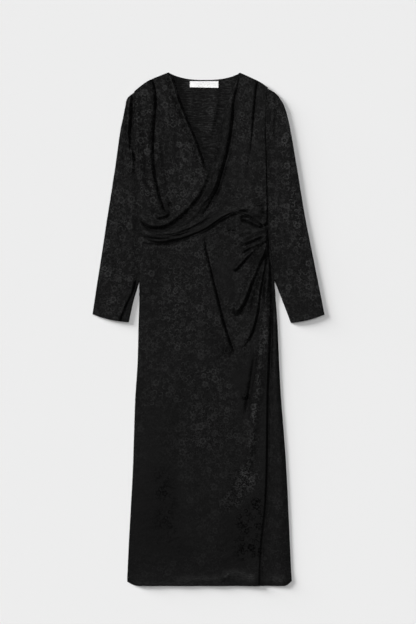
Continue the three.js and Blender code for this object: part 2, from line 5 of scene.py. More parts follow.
import bpy
import numpy as np
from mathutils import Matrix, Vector


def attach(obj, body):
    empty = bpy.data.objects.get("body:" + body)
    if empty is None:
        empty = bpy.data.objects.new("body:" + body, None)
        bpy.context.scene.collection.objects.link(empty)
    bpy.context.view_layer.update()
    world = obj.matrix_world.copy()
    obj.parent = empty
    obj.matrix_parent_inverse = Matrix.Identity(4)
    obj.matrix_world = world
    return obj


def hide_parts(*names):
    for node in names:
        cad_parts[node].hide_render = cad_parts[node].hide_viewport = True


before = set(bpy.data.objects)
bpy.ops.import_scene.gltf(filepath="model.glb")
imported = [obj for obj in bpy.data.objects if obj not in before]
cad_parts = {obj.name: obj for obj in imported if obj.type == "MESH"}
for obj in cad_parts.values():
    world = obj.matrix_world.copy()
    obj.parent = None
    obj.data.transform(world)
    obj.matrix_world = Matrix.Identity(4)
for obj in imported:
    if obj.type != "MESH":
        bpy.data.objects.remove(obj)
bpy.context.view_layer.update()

MM = 0.001

# Sizes, in millimetres. They are the CAD source's, but for the lift's fade, the last rows of the side
# seam and the middle rows of the over front, which follow the photograph a little more closely.
CLOTH = 1.2
THIN = 0.8  # thickness of the cloth that shows
SEAM = 0.3
PRESSED = 2.7
LIFT = PRESSED + 0.5
LIFT_EDGE, LIFT_FADE = 6, 60
LIFT_LOW, LIFT_HIGH = 60, 128
LAY_GAP = 0.45
WRAP_GAP = 0.9
BODY_RISE, BODY_RISE_WIDTH = 1.6, 30
HEM_Y = -702
BACK_WAIST_Y = 260
SIDE_RISE = 1.9
HEM_TURN = 23, 26  # how far above the hem the turned-up edge begins and ends
NECK_ENDS = -112, 90  # between these the back bodice's upper edge is its neckline
FAR = 99  # a distance from any stitched edge that shows no stitches

SIDES = np.array([  # y, right side x, left side x
    (659, -203, 162), (600, -202, 156), (560, -205, 156), (525, -207, 156), (495, -204, 157),
    (470, -193, 159), (448, -187, 160), (355, -188, 161), (297, -189, 163), (250, -189, 168),
    (200, -189, 173), (130, -189, 180), (74, -189, 184), (19, -191, 188), (-95, -194, 193),
    (-186, -200, 198), (-300, -204, 207), (-386, -207, 213), (-500, -213, 219), (-598, -218, 224),
    (-690, -222, 228)])
SIDE_SEAM = np.array([  # y, x
    (290, 161), (250, 165), (200, 169), (158, 172), (74, 174), (-51, 170), (-186, 165), (-278, 164),
    (-425, 161), (-504, 156), (-566, 149), (-630, 144), (-702, 142)])
TUCK = np.array([  # y, x: the long tuck, and the line it would follow on to the hem
    (300, -16), (252, -11), (214, -4), (164, 7), (122, 16), (69, 28), (8, 42), (-37, 55), (-74, 66),
    (-120, 74), (-200, 84), (-300, 90), (-500, 72), (-700, 50)])
WAIST = np.array([  # x, y
    (-189, 268), (-133, 250), (-76, 257), (-34, 271), (-5, 285), (43, 317), (85, 331), (125, 319),
    (163, 292)])
RIGHT_SHOULDER = np.array([(-203, 648), (-186, 662), (-156, 681), (-110, 700)])
BACK_NECK = np.array([(-110, 700), (-83, 689), (-50, 682), (-11, 680), (28, 682), (60, 688), (88, 699)])
LEFT_SHOULDER = np.array([(88, 699), (118, 685), (140, 674), (162, 659)])

UNDER_ROWS = np.array([  # side x and y, pleat x and y, neckline x and y
    (-203, 648, -157, 680, -110, 700), (-202, 600, -147, 628, -92, 651),
     (-205, 560, -143, 590, -81, 615),
    (-207, 522, -147, 550, -62, 572), (-200, 484, -150, 505, -39, 524),
     (-187, 450, -150, 462, -19, 478),
    (-187, 410, -145, 419, -3, 430), (-188, 360, -131, 370, 22, 388), (-188, 312, -112, 326, 52, 354),
    (-189, 269, -95, 286, 86, 332)])
OVER_ROWS = np.array([  # neckline, valley beside its roll, shoulder pleat, outer edge, each x and y
    (88, 699, 97, 695, 135, 676, 162, 659), (73, 650, 84, 646, 130, 630, 157, 622),
    (56, 606, 71, 600, 125, 588, 156, 580), (37, 556, 66, 549, 120, 537, 156, 530),
    (23, 514, 59, 505, 114, 489, 158, 480), (11, 470, 48, 460, 108, 446, 160, 430),
    (-2, 421, 34, 412, 100, 393, 161, 370), (-15, 389, 24, 379, 95, 368, 163, 306),
    (-27, 366, 9, 352, 82, 348, 156, 280), (-39, 349, -4, 329, 60, 335, 126, 301),
    (-55, 330, -23, 305, 32, 316, 87, 321), (-72, 314, -43, 287, -4, 296, 43, 305),
    (-95, 294, -72, 271, -37, 273, 0, 275), (-119, 279, -98, 262, -71, 258, -45, 254),
    (-140, 274, -124, 259, -106, 248, -90, 239), (-158, 276, -149, 261, -139, 247, -130, 233),
    (-175, 284, -171, 269, -167, 256, -163, 241), (-188, 290, -188, 280, -188, 270, -188, 260)])
OVER_SIZES = np.array([  # height of the roll, of the step at its valley, of the cloth, of the outer edge
    (0.4, 0.0, 0.2, 0.2), (1.6, 1.0, 0.8, 0.3), (3.0, 2.4, 1.4, 0.4), (4.4, 3.6, 1.8, 0.4),
    (5.4, 4.4, 2.2, 0.4), (6.4, 5.0, 2.6, 0.4), (7.2, 5.2, 3.0, 0.4), (7.6, 4.8, 3.4, 0.8),
    (7.8, 4.4, 3.8, 1.8), (7.8, 3.6, 4.6, 4.0), (7.8, 2.4, 5.8, 6.0), (7.8, 0.8, 7.0, 7.2),
    (7.8, 0, 7.4, 7.6), (7.6, 0, 7.2, 7.2), (7.0, 0, 6.6, 6.2), (6.0, 0, 5.4, 4.8),
    (4.4, 0, 3.8, 3.2), (2.0, 0, 1.6, 1.4)])

RIGHT_SLEEVE = np.array([  # outer x and y, inner x and y
    (-197, 650, -168, 448), (-221, 631, -163, 425), (-228, 605, -160, 402), (-234, 575, -158, 378),
    (-240, 547, -157, 352), (-247, 500, -158, 322), (-254, 448, -160, 290), (-261, 403, -163, 258),
    (-270, 345, -168, 224), (-279, 289, -175, 184), (-289, 222, -184, 146), (-299, 158, -195, 109),
    (-308, 100, -206, 71), (-317, 40, -218, 18)])
LEFT_SLEEVE = np.array([
    (155, 659, 137, 440), (184, 643, 135, 418), (205, 613, 133, 395), (217, 575, 131, 370),
    (226, 532, 130, 345), (235, 480, 131, 316), (245, 421, 134, 286), (253, 370, 138, 256),
    (264, 305, 145, 222), (275, 250, 154, 188), (287, 190, 166, 156), (298, 135, 184, 122),
    (308, 85, 204, 71), (317, 39, 225, 16)])


def smooth(x, low, high):
    t = np.clip((np.asarray(x, float) - low) / (high - low), 0, 1)
    return t * t * (3 - 2 * t)


def column(table, key=0, value=1):
    """A smooth function through a table: its value column for any place in its key column."""
    rows = table[np.argsort(table[:, key])]
    xs, ys = rows[:, key].astype(float), rows[:, value].astype(float)
    slopes = np.gradient(ys, xs)
    slopes[1:-1] = (ys[2:] - ys[:-2]) / (xs[2:] - xs[:-2])

    def at(place):
        place = np.clip(np.asarray(place, float), xs[0], xs[-1])
        i = np.clip(np.searchsorted(xs, place, side="right") - 1, 0, len(xs) - 2)
        span = xs[i + 1] - xs[i]
        t = (place - xs[i]) / span
        start, end = slopes[i] * span, slopes[i + 1] * span
        return (ys[i] * (2 * t**3 - 3 * t**2 + 1) + start * (t**3 - 2 * t**2 + t)
                + ys[i + 1] * (3 * t**2 - 2 * t**3) + end * (t**3 - t**2))
    return at


def path(points):
    """The value at a share of the way through a list of rows, by a Catmull-Rom spline."""
    p = np.asarray(points, float)
    p = p.reshape(len(p), -1)

    def at(share):
        place = np.clip(np.asarray(share, float), 0, 1) * (len(p) - 1)
        i = np.clip(place.astype(int), 0, len(p) - 2)
        t = (place - i)[:, None]
        a, b, c, d = p[np.maximum(i - 1, 0)], p[i], p[i + 1], p[np.minimum(i + 2, len(p) - 1)]
        before, after = (c - a) / 2, (d - b) / 2
        return (2 * b - 2 * c + before + after) * t**3 + (-3 * b + 3 * c - 2 * before - after) * t**2 \
            + before * t + b
    return at


right_edge, left_edge = column(SIDES, 0, 1), column(SIDES, 0, 2)
side_seam, tuck_line, waist_seam = column(SIDE_SEAM), column(TUCK), column(WAIST)
right_shoulder, back_neck, left_shoulder = column(RIGHT_SHOULDER), column(BACK_NECK), column(LEFT_SHOULDER)
under_neckline = column(UNDER_ROWS, 5, 4)


def hidden_edge(sleeve):
    """The edge of a sleeve behind the body: along the armhole, then down its folded inner edge."""
    ox, oy, ix, iy = sleeve[0]
    armhole = [(oy + (iy - oy) * s, ox + (ix - ox) * s) for s in (0, 0.3, 0.6, 0.9)]
    return column(np.array(armhole + [(row[3], row[2]) for row in sleeve]))


right_hidden, left_hidden = hidden_edge(RIGHT_SLEEVE), hidden_edge(LEFT_SLEEVE)


def lift(x, y):
    """How far the back stands off the floor: raised where a sleeve is folded behind it."""
    right = 1 - smooth(x - right_hidden(y), LIFT_EDGE, LIFT_FADE)
    left = 1 - smooth(left_hidden(y) - x, LIFT_EDGE, LIFT_FADE)
    return LIFT * smooth(y, LIFT_LOW, LIFT_HIGH) * np.maximum(right, left)


def from_side(x, y):
    return np.minimum(x - right_edge(y), left_edge(y) - x)


def first_layer(x, y):
    """The upper face of a front that lies on the back."""
    rise = BODY_RISE * smooth(from_side(x, y), 0, BODY_RISE_WIDTH)
    return lift(x, y) + CLOTH + LAY_GAP + CLOTH + rise


def skirt_layer(x, y):
    return first_layer(x, y) + SIDE_RISE * (1 - smooth(side_seam(y) - x, 10, 50))


def hem_y(x):
    right, left = np.clip((-190 - x) / 30, 0, 1), np.clip((x - 205) / 21, 0, 1)
    return HEM_Y + 11 * right**2 + 13 * left**2


def off_line(x, y, line, samples=48):
    """Signed distance from a smooth line, positive on its left, and the share along it."""
    p = path(line)(np.linspace(0, 1, samples))
    best = np.full(x.shape, 1e9)
    side, share = np.ones(x.shape), np.zeros(x.shape)
    for i in range(samples - 1):
        (ax, ay), (bx, by) = p[i], p[i + 1]
        dx, dy = bx - ax, by - ay
        t = np.clip(((x - ax) * dx + (y - ay) * dy) / (dx * dx + dy * dy), 0, 1)
        d = np.hypot(x - ax - dx * t, y - ay - dy * t)
        near = d < best
        best = np.where(near, d, best)
        side = np.where(near, np.sign(dx * (y - ay) - dy * (x - ax)), side)
        share = np.where(near, (i + t) / (samples - 1), share)
    return best * np.where(side == 0, 1, side), share


def ends(share, first, last):
    """A fold's strength along its line, dying away over a share of it at each end."""
    strength = np.ones_like(share)
    if first:
        strength *= smooth(share, 0, first)
    if last:
        strength *= smooth(1 - share, 0, last)
    return strength


def folds(x, y, rows):
    """The height that a list of creases adds. A ridge or trough has no reach and is soft on
    both sides; a lip is high on its line's left, over its reach, and drops off sharply on its right."""
    total = np.zeros(x.shape)
    for height, width, reach, first, last, line in rows:
        d, share = off_line(x, y, line)
        f = height * ends(share, first, last)
        if reach == 0:
            total += f * np.exp(-(d / width) ** 2)
        else:
            high = np.where(d > 0, 1 - smooth(d, 0, reach), 0)
            drop = np.where(d <= 0, 1 - smooth(-d, 0, width), 0)
            hollow = -0.22 * np.exp(-((d + width * 1.6) / (width * 1.2)) ** 2)
            total += f * (high + drop + hollow)
    return total


def wrinkles(x, y, size, seed):
    """Slow, shallow unevenness, the same every run: the sum of a few waves at odd angles."""
    rng = np.random.default_rng(seed)
    total = np.zeros(x.shape)
    for _ in range(9):
        angle, phase = rng.uniform(0, 2 * math.pi, 2)
        length = size * rng.uniform(0.6, 1.8)
        across = (x * math.cos(angle) + y * math.sin(angle)) * 2 * math.pi / length
        total += np.sin(across + phase + 1.3 * np.sin(across * 0.37 + phase * 2))
    return total / 9


# The offsets of the columns beside a folded edge, in millimetres: laid flat, and folded over as a lip
# that is high on the left; and the share of the fold's height at each.
FOLD_FLAT = np.array([-13, -9.8, -7.2, -5.2, -3.4, -1.8, -0.2, 1.2, 2.6, 4.4, 7.2, 12])
FOLD_OVER = np.array([-12.6, -9.0, -6.2, -4.2, -2.4, -0.8, 0.6, 1.1, 0.5, 2.4, 6.0, 11.6])
FOLD_HIGH = np.array([1, 0.99, 0.94, 0.82, 0.64, 0.44, 0.22, 0.05, -0.05, -0.13, -0.09, 0.0])
FULL_FOLD = 4.0  # a fold this high is folded over in full


def unit(vectors):
    return vectors / np.linalg.norm(vectors, axis=1)[:, None]


def across_panel(stations, spans, fold_specs):
    """The points of a panel's rows in plan. stations are the guides' points for every row, (rows, 2)
    each; spans is the number of columns between neighbours; fold_specs maps a guide's place to
    (height for every row, reach). Returns x, y and the folds' height."""
    columns, heights = [], []
    for k, guide in enumerate(stations):
        if k in fold_specs:
            height = fold_specs[k][0]
            along = unit(stations[k + 1] - stations[k - 1])
            share = np.clip(height / FULL_FOLD, 0, 1)[:, None]
            for flat, over, high in zip(FOLD_FLAT, FOLD_OVER, FOLD_HIGH):
                columns.append(guide + along * (flat * (1 - share) + over * share))
                heights.append(height * high)
        else:
            columns.append(guide)
            heights.append(np.zeros(len(guide)))
        if k + 1 == len(stations):
            break
        start, after = columns[-1], stations[k + 1]
        if k + 1 in fold_specs:
            after = after + unit(stations[k + 2] - stations[k]) * FOLD_FLAT[0]
        width = np.linalg.norm(after - start, axis=1)
        height, reach = fold_specs.get(k + 1, (0.0, 1.0))
        for j in range(1, spans[k]):
            s = j / spans[k]
            columns.append(start * (1 - s) + after * s)
            heights.append(height * (1 - smooth((1 - s) * width, 0, reach)))
    plan = np.stack(columns, axis=1)
    return plan[..., 0], plan[..., 1], np.stack(heights, axis=1)


def grid(*parts):
    """A grid of points, or of places on the cloth, from the grids of its coordinates."""
    return np.stack(parts, axis=2)


def grid_normals(points):
    n = np.cross(np.gradient(points, axis=0), np.gradient(points, axis=1))
    return n / np.maximum(np.linalg.norm(n, axis=2), 1e-9)[..., None]


def place(name, data):
    obj = bpy.data.objects.new(name, data)
    bpy.context.scene.collection.objects.link(obj)
    return obj


def cloth(name, top, uv, layers, materials, bottom=None, wrapped=False):
    """A closed thin shell: the grid of points top and, THIN below it, its other face. layers are named
    numbers at each point that its materials read."""
    if bottom is None:
        bottom = top - grid_normals(top) * THIN
    rows, cols = top.shape[:2]
    points = np.concatenate([top.reshape(-1, 3), bottom.reshape(-1, 3)]) * MM
    half = rows * cols
    index = np.arange(half).reshape(rows, cols)
    if wrapped:
        index = np.concatenate([index, index[:, :1]], axis=1)
    corners = index[:-1, :-1], index[1:, :-1], index[1:, 1:], index[:-1, 1:]
    upper = grid(*corners).reshape(-1, 4)
    lower = upper[:, ::-1] + half

    def rim(a, b):
        return np.stack([a, b, b + half, a + half], axis=1)
    rims = [rim(index[0, :-1], index[0, 1:]), rim(index[-1, 1:], index[-1, :-1])]
    if not wrapped:
        rims += [rim(index[1:, 0], index[:-1, 0]), rim(index[:-1, -1], index[1:, -1])]
    faces = np.concatenate([upper, lower, *rims])
    kinds = np.zeros(len(faces), np.int32)
    kinds[len(upper):2 * len(upper)] = 1
    mesh = bpy.data.meshes.new(name)
    mesh.vertices.add(len(points))
    mesh.vertices.foreach_set("co", points.astype(np.float32).ravel())
    mesh.loops.add(faces.size)
    mesh.loops.foreach_set("vertex_index", faces.astype(np.int32).ravel())
    mesh.polygons.add(len(faces))
    mesh.polygons.foreach_set("loop_start", (np.arange(len(faces)) * 4).astype(np.int32))
    mesh.polygons.foreach_set("use_smooth", np.ones(len(faces), bool))
    mesh.polygons.foreach_set("material_index", kinds)
    mesh.update(calc_edges=True)
    layer = mesh.uv_layers.new(name="Cloth")
    flat = np.tile(uv.reshape(-1, 2), (2, 1)) * MM
    layer.data.foreach_set("uv", flat[faces.ravel()].astype(np.float32).ravel())
    for key, values in layers.items():
        attribute = mesh.attributes.new(key, "FLOAT", "POINT")
        attribute.data.foreach_set("value", np.tile(values.ravel(), 2).astype(np.float32))
    edges = np.zeros(len(mesh.edges) * 2, np.int32)
    mesh.edges.foreach_get("vertices", edges)
    edges = edges.reshape(-1, 2)
    boundary = np.zeros((rows, cols), bool)
    boundary[[0, -1]] = True
    if not wrapped:
        boundary[:, [0, -1]] = True
    on_rim = np.tile(boundary.ravel(), 2)[edges].all(axis=1)
    same_face = (edges[:, 0] < half) == (edges[:, 1] < half)
    mesh.attributes.new("sharp_edge", "BOOLEAN", "EDGE").data.foreach_set("value", on_rim & same_face)
    for material in materials:
        mesh.materials.append(material)
    mesh.validate()
    return place(name, mesh)


def steps(*parts):
    """Shares from the first to the last number, with a number of equal steps between neighbours."""
    values = [parts[0]]
    for count, end in zip(parts[1::2], parts[2::2]):
        start = values[-1]
        values += [start + (end - start) * (k + 1) / count for k in range(count)]
    return np.array(values, float)


def from_first(lengths, axis):
    """The running sum of the lengths along an axis, from 0."""
    return np.insert(np.cumsum(lengths, axis=axis), 0, 0, axis=axis)


def distances(x, y):
    """How far each point of a grid is from its row's first, and from its column's first."""
    return [from_first(np.hypot(np.diff(x, axis=axis), np.diff(y, axis=axis)), axis) for axis in (1, 0)]


# Materials


class Signal:
    """One output in a material's tree. Arithmetic on it adds the nodes that work it out."""

    def __init__(self, nodes, socket):
        self.nodes, self.socket = nodes, socket

    def __add__(self, other):
        return self.nodes.math("ADD", self, other)

    def __sub__(self, other):
        return self.nodes.math("SUBTRACT", self, other)

    def __rsub__(self, other):
        return self.nodes.math("SUBTRACT", other, self)

    def __mul__(self, other):
        return self.nodes.math("MULTIPLY", self, other)

    def __truediv__(self, other):
        return self.nodes.math("DIVIDE", self, other)

    def __abs__(self):
        return self.nodes.math("ABSOLUTE", self)


class Nodes:
    """Small helpers that wire a tree's nodes. Each gives a signal, or several."""

    def __init__(self, tree):
        self.tree = tree

    def add(self, kind, **values):
        node = self.tree.nodes.new(kind)
        for key, value in values.items():
            setattr(node, key, value)
        return node

    def put(self, socket, value):
        if isinstance(value, Signal):
            self.tree.links.new(value.socket, socket)
        else:
            socket.default_value = value

    def fill(self, node, values, output=0):
        """The node's output, once its inputs are given by name or by place."""
        for key, value in values.items():
            self.put(node.inputs[key], value)
        return Signal(self, node.outputs[output])

    def math(self, operation, *values, clamp=False):
        node = self.add("ShaderNodeMath", operation=operation, use_clamp=clamp)
        return self.fill(node, dict(enumerate(values)))

    def max(self, a, b):
        return self.math("MAXIMUM", a, b)

    def vector(self, operation, a, b=(0, 0, 0), output=0):
        node = self.add("ShaderNodeVectorMath", operation=operation)
        return self.fill(node, {0: a, 1: b}, output)

    def scale(self, vector, by):
        return self.fill(self.add("ShaderNodeVectorMath", operation="SCALE"), {0: vector, "Scale": by})

    def parts(self, vector):
        node = self.add("ShaderNodeSeparateXYZ")
        return [self.fill(node, {0: vector}, i) for i in range(3)]

    def band(self, value, low, high, out_low=0.0, out_high=1.0):
        node = self.add("ShaderNodeMapRange", interpolation_type="SMOOTHSTEP")
        return self.fill(node, dict(enumerate((value, low, high, out_low, out_high))))

    def mix(self, share, a, b):
        return self.fill(self.add("ShaderNodeMix", data_type="RGBA"), {0: share, 6: a, 7: b}, 2)

    def grey(self, shade):
        return self.fill(self.add("ShaderNodeCombineColor"), dict.fromkeys(range(3), shade))

    def noise(self, vector, scale, detail=2.0, rough=0.5, output=0):
        node = self.add("ShaderNodeTexNoise", noise_dimensions="2D")
        values = {"Vector": vector, "Scale": scale, "Detail": detail, "Roughness": rough}
        return self.fill(node, values, output)

    def stretched(self, vector, across, up, detail, rough=0.5):
        """Noise with its own scale each way."""
        return self.noise(self.vector("MULTIPLY", vector, (across, up, 1.0)), 1.0, detail, rough)

    def cells(self, vector, size, spread, move=(0, 0, 0)):
        """Local coordinates round each cell's centre, and three random numbers of the cell."""
        vector = self.vector("ADD", vector, move)
        node = self.add("ShaderNodeTexVoronoi", voronoi_dimensions="2D")
        values = {"Vector": vector, "Scale": 1 / size, "Randomness": spread}
        local = self.vector("SUBTRACT", vector, self.fill(node, values, "Position"))
        chance = self.add("ShaderNodeSeparateColor")
        return [local] + [self.fill(chance, {0: self.fill(node, {}, "Color")}, i) for i in range(3)]

    def turned(self, local, chance):
        """The local coordinates turned by a random angle."""
        node = self.add("ShaderNodeVectorRotate", rotation_type="Z_AXIS")
        return self.parts(self.fill(node, {"Vector": local, "Angle": chance * (2 * math.pi)}))[:2]

    def read(self, name):
        return self.fill(self.add("ShaderNodeAttribute", attribute_name=name), {}, "Fac")

    def millimetres(self):
        return self.scale(self.fill(self.add("ShaderNodeUVMap", uv_map="Cloth"), {}), 1000.0)

    def bump(self, height, strength=1.0):
        node = self.add("ShaderNodeBump")
        return self.fill(node, {"Strength": strength, "Distance": MM, "Height": height})


def material(name):
    made = bpy.data.materials.new(name)
    made.use_nodes = True
    made.node_tree.nodes.clear()
    n = Nodes(made.node_tree)
    shader = n.add("ShaderNodeBsdfPrincipled")
    n.put(n.add("ShaderNodeOutputMaterial").inputs[0], n.fill(shader, {}))
    return made, n, shader


def flower_weave(n, p):
    """The woven figure, from 0 on the ground to 1: round five-petalled flowers, sprigs with paired
    leaves, small florets and scattered flecks, at sizes in millimetres."""
    ragged = n.noise(p, 0.35, output="Color")
    p = n.vector("ADD", p, n.scale(n.vector("SUBTRACT", ragged, (0.5, 0.5, 0.5)), 2.4))
    local, c1, c2, c3 = n.cells(p, 36, 0.85)
    x, y = n.turned(local, c1)
    radius = n.math("SQRT", x * x + y * y)
    petals = abs(n.math("COSINE", n.math("ARCTAN2", y, x) * 2.5))
    size = c2 * 4.0 + 8.6
    inside = n.band(size * (petals * 0.24 + 0.76) - radius, -0.3, 1.2)
    core = n.band(size * 0.46 - radius, -0.4, 1.0)
    split = n.band(petals, 0.0, 0.4, 0.25, 1.0)
    eye = n.band(size * 0.15 - radius, -0.2, 0.6)
    flower = n.max(inside * (1.0 - core) * split, eye * 0.8) * n.band(c3, 0.3, 0.6)

    def sprigs(move, cell, scale, chance):
        local, c1, c2, c3 = n.cells(p, cell, 0.9, move)
        x, y = n.turned(n.scale(local, scale), c1)
        y = y + x * x * 0.035
        found = n.band(abs(y), 0.9, 0.3) * n.band(abs(x), 10.5, 9.0)
        for stem, long, turn in ((-7.0, 7.2, 0.75), (-0.5, 6.6, 0.7), (5.0, 5.2, 0.6)):
            lx, ly = x - stem, abs(y)
            along = lx * math.cos(turn) + ly * math.sin(turn)
            aside = ly * math.cos(turn) - lx * math.sin(turn)
            ax = (along - long / 2) / (long / 2)
            leaf = ax * ax + abs(aside / (long * 0.24))
            found = n.max(found, n.band(leaf, 1.15, 0.75))
        return found * (c2 * 0.5 + 0.5) * n.math("GREATER_THAN", c3, chance)
    leaves = n.max(sprigs((317.0, 131.0, 0.0), 24, 1.0, 0.25),
                   sprigs((137.0, 719.0, 0.0), 14, 1.7, 0.4) * 0.8)

    local, c1, c2, c3 = n.cells(p, 17, 0.85, (71.0, 523.0, 0.0))
    ring = abs(n.vector("LENGTH", local, output="Value") - (c2 * 1.8 + 4.2))
    x, y = n.turned(local, c1)
    florets = n.band(ring, 1.8, 0.6) * n.band(x, -3.2, -0.4) * n.math("GREATER_THAN", c3, 0.2)

    local, c1, c2, c3 = n.cells(p, 5.4, 1.0, (911.0, 47.0, 0.0))
    x, y = n.turned(local, c1)
    flecks = n.band(x * x + y * y * 4.5, c2 * 4.5 + 2.0, 0.8) * (c3 * 0.9 + 0.1)

    large = n.max(flower, leaves)
    clear = n.math("SUBTRACT", 1.0, large, clamp=True)
    return n.math("POWER", n.max(large, n.max(florets, flecks) * clear), 1.5)


def stitches(n, along, off, at, pitch=2.4, length=1.5, wide=0.32):
    """A row of stitches at a distance from an edge: 1 on the thread."""
    dash = abs(n.math("MODULO", abs(along), pitch) - pitch / 2)
    on = n.band(dash, length / 2 + 0.15, length / 2 - 0.15)
    return on * n.band(abs(off - at), wide + 0.15, wide - 0.1)


SPECULAR = 0.070
GROUND = 0.0021, 0.0021, 0.0021
GROUND_THREAD, INSIDE_THREAD = (0.012, 0.012, 0.012, 1), (0.016, 0.016, 0.016, 1)
INSIDE_DARK, INSIDE_PALE = (0.0028, 0.0028, 0.0028, 1), (0.026, 0.026, 0.026, 1)
OUTSIDE_ROW, INSIDE_ROW, LABEL_ROW = 3.0, 5.0, 1.3  # how far each row of stitches is from its edge


def jacquard():
    """Right side: black satin ground with a duller, paler woven figure, whose brightness and glint carry
    painted highlight and shade.
    """
    made, n, shader = material("jacquard")
    p = n.millimetres()
    figure = flower_weave(n, n.scale(p, 1.1))
    # gleam and shine are layers of painted highlight and shade, which the pieces set along given lines;
    # edge and along place the stitches.
    painted_sheen, painted_hem_glint, edge, along = [n.read(name) for name in ("painted_sheen", "painted_hem_glint", "edge", "along")]
    patches = n.band(n.noise(p, 0.014), 0.3, 0.62, 0.5, 1.0)
    # Painted highlight and shade: the figure shows more where the painted sheen is high, and turns darker
    # than the ground where it is below 0, in random patches.
    show = figure * (patches * painted_sheen)
    grain = n.stretched(p, 0.22, 1.6, 3.0, 0.6)
    mottle = (n.noise(p, 0.24, 2.0, 0.65) - 0.5) * n.band(painted_sheen, 0.2, 1.0, 0.7, 1.5)
    # Base colour tone: the figure and the painted sheen paint it brighter, with random unevenness.
    tone_with_painted_sheen = (mottle * 1.6 + 1.0) * (show * 2.6 + 0.9)
    # Painted glint: streaks that break up the bright streaks painted along the hem.
    streaks = n.band(n.stretched(p, 0.08, 0.4, 2.0, 0.6), 0.38, 0.6, 0.15, 1.2)
    # Specular level: the figure's and random unevenness's, lower on the ground where the painted sheen is
    # high, and raised by the painted hem glint.
    specular_with_painted_glint = show * 2.4 + (mottle * 1.2 + n.band(painted_sheen, 0.0, 1.0, 0.98, 0.76)) + painted_hem_glint * streaks
    thread = stitches(n, along, edge, OUTSIDE_ROW)
    puckers = n.stretched(p, 0.09, 0.09, 2.0) * n.band(edge, 22.0, 0.0)
    twill = n.add("ShaderNodeTexWave", wave_type="BANDS", bands_direction="DIAGONAL")
    twill = n.fill(twill, {"Vector": p, "Scale": 0.55}, "Fac")
    height = figure * 0.07 + twill * 0.03 + grain * 0.04 + n.noise(p, 0.035) * 0.9
    n.fill(shader, {
        "Base Color": n.mix(thread * 0.4, n.scale(GROUND, n.max(tone_with_painted_sheen, 0.2)), GROUND_THREAD),
        "Specular IOR Level": n.max(specular_with_painted_glint, 0.15) * SPECULAR,
        "Roughness": (grain - 0.5) * 0.14 + (show * 0.1 + 0.31),
        "Sheen Weight": 0.01, "Sheen Roughness": 0.45,
        "Normal": n.bump(height + puckers * 0.5 + thread * 0.2, 0.75)})
    return made


def wrong_side():
    """Inside of the cloth: the figure's floats show as short, fine horizontal streaks."""
    made, n, shader = material("jacquard_inside")
    p = n.millimetres()
    streak = n.stretched(p, 0.045, 0.42, 3.5, 0.7)
    fine = n.stretched(p, 0.16, 1.3, 2.0, 0.6)
    show = n.band(flower_weave(n, p) * 0.12 + streak, 0.46, 0.80)
    thread = stitches(n, n.read("along"), n.read("edge"), INSIDE_ROW)
    n.fill(shader, {
        "Base Color": n.mix(thread * 0.4, n.mix(show, INSIDE_DARK, INSIDE_PALE), INSIDE_THREAD),
        "Roughness": fine * 0.2 + 0.5, "Specular IOR Level": SPECULAR, "Sheen Weight": 0.01,
        "Normal": n.bump(streak * 0.5 + fine * 0.1 + thread * 0.2, 0.7)})
    return made


def label_tape():
    """White woven tape: fine ribs and a stitched edge, with no marks."""
    made, n, shader = material("label")
    p = n.millimetres()
    x, y, _ = n.parts(p)
    rib = n.math("SINE", x * (2 * math.pi / 0.6))
    cross = n.math("SINE", y * (2 * math.pi / 0.45))
    cloudy = n.noise(p, 0.08)
    edge = n.read("edge")
    thread = stitches(n, n.read("along"), edge, LABEL_ROW, 2.0, 1.2, 0.25)
    # Painted shade: the tape's colour is a little darker along its row of stitches, where they sink in.
    hollow = n.band(abs(edge - LABEL_ROW), 0.9, 0.2)
    shade = (cloudy - 0.5) * 0.05 + (rib * cross * 0.02 + 0.86)
    n.fill(shader, {
        "Base Color": n.grey(thread * 0.06 + (shade - hollow * 0.05)),
        "Roughness": cloudy * 0.15 + 0.6, "Specular IOR Level": 0.3, "Sheen Weight": 0.1,
        "Normal": n.bump(thread * 0.25 + (rib + cross) * 0.03)})
    return made


JACQUARD, INSIDE, LABEL_TAPE = jacquard(), wrong_side(), label_tape()


def finish_piece(obj, node):
    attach(obj, "root")
    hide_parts(node)


# Creases: height, width, reach, how far the first and last ends take to die away as
# shares of the line, and the line. Those with a reach are lips, high on the left of their direction.
UNDER_FOLDS = [
    (2.6, 16, 0, 0.0, 0.3, [(-178, 664), (-176, 600), (-176, 520), (-170, 430), (-158, 350)]),
    (-1.8, 7, 0, 0.2, 0.4, [(-190, 610), (-193, 540), (-186, 470), (-180, 400)]),
    (1.6, 12, 0, 0.3, 0.4, [(-118, 640), (-108, 560), (-98, 480), (-92, 400)]),
    (-1.6, 9, 0, 0.3, 0.4, [(-130, 560), (-124, 480), (-112, 400), (-96, 350)]),
    (1.5, 18, 0, 0.3, 0.3, [(-66, 540), (-50, 470), (-38, 410)]),
    (-2.4, 3.5, 0, 0.3, 0.3, [(-109, 346), (-105, 338), (-101, 330)]),
    (6.4, 8, 16, 0.25, 0.25, [(-147, 306), (-133, 305), (-119, 309), (-103, 320)]),
    (-1.4, 3, 0, 0.3, 0.3, [(-158, 316), (-146, 315), (-132, 315)]),
    (-2.0, 4, 0, 0.3, 0.3, [(-176, 306), (-164, 300), (-152, 296)]),
    (-1.4, 3.5, 0, 0.3, 0.3, [(-191, 505), (-188, 484), (-185, 462)]),
]
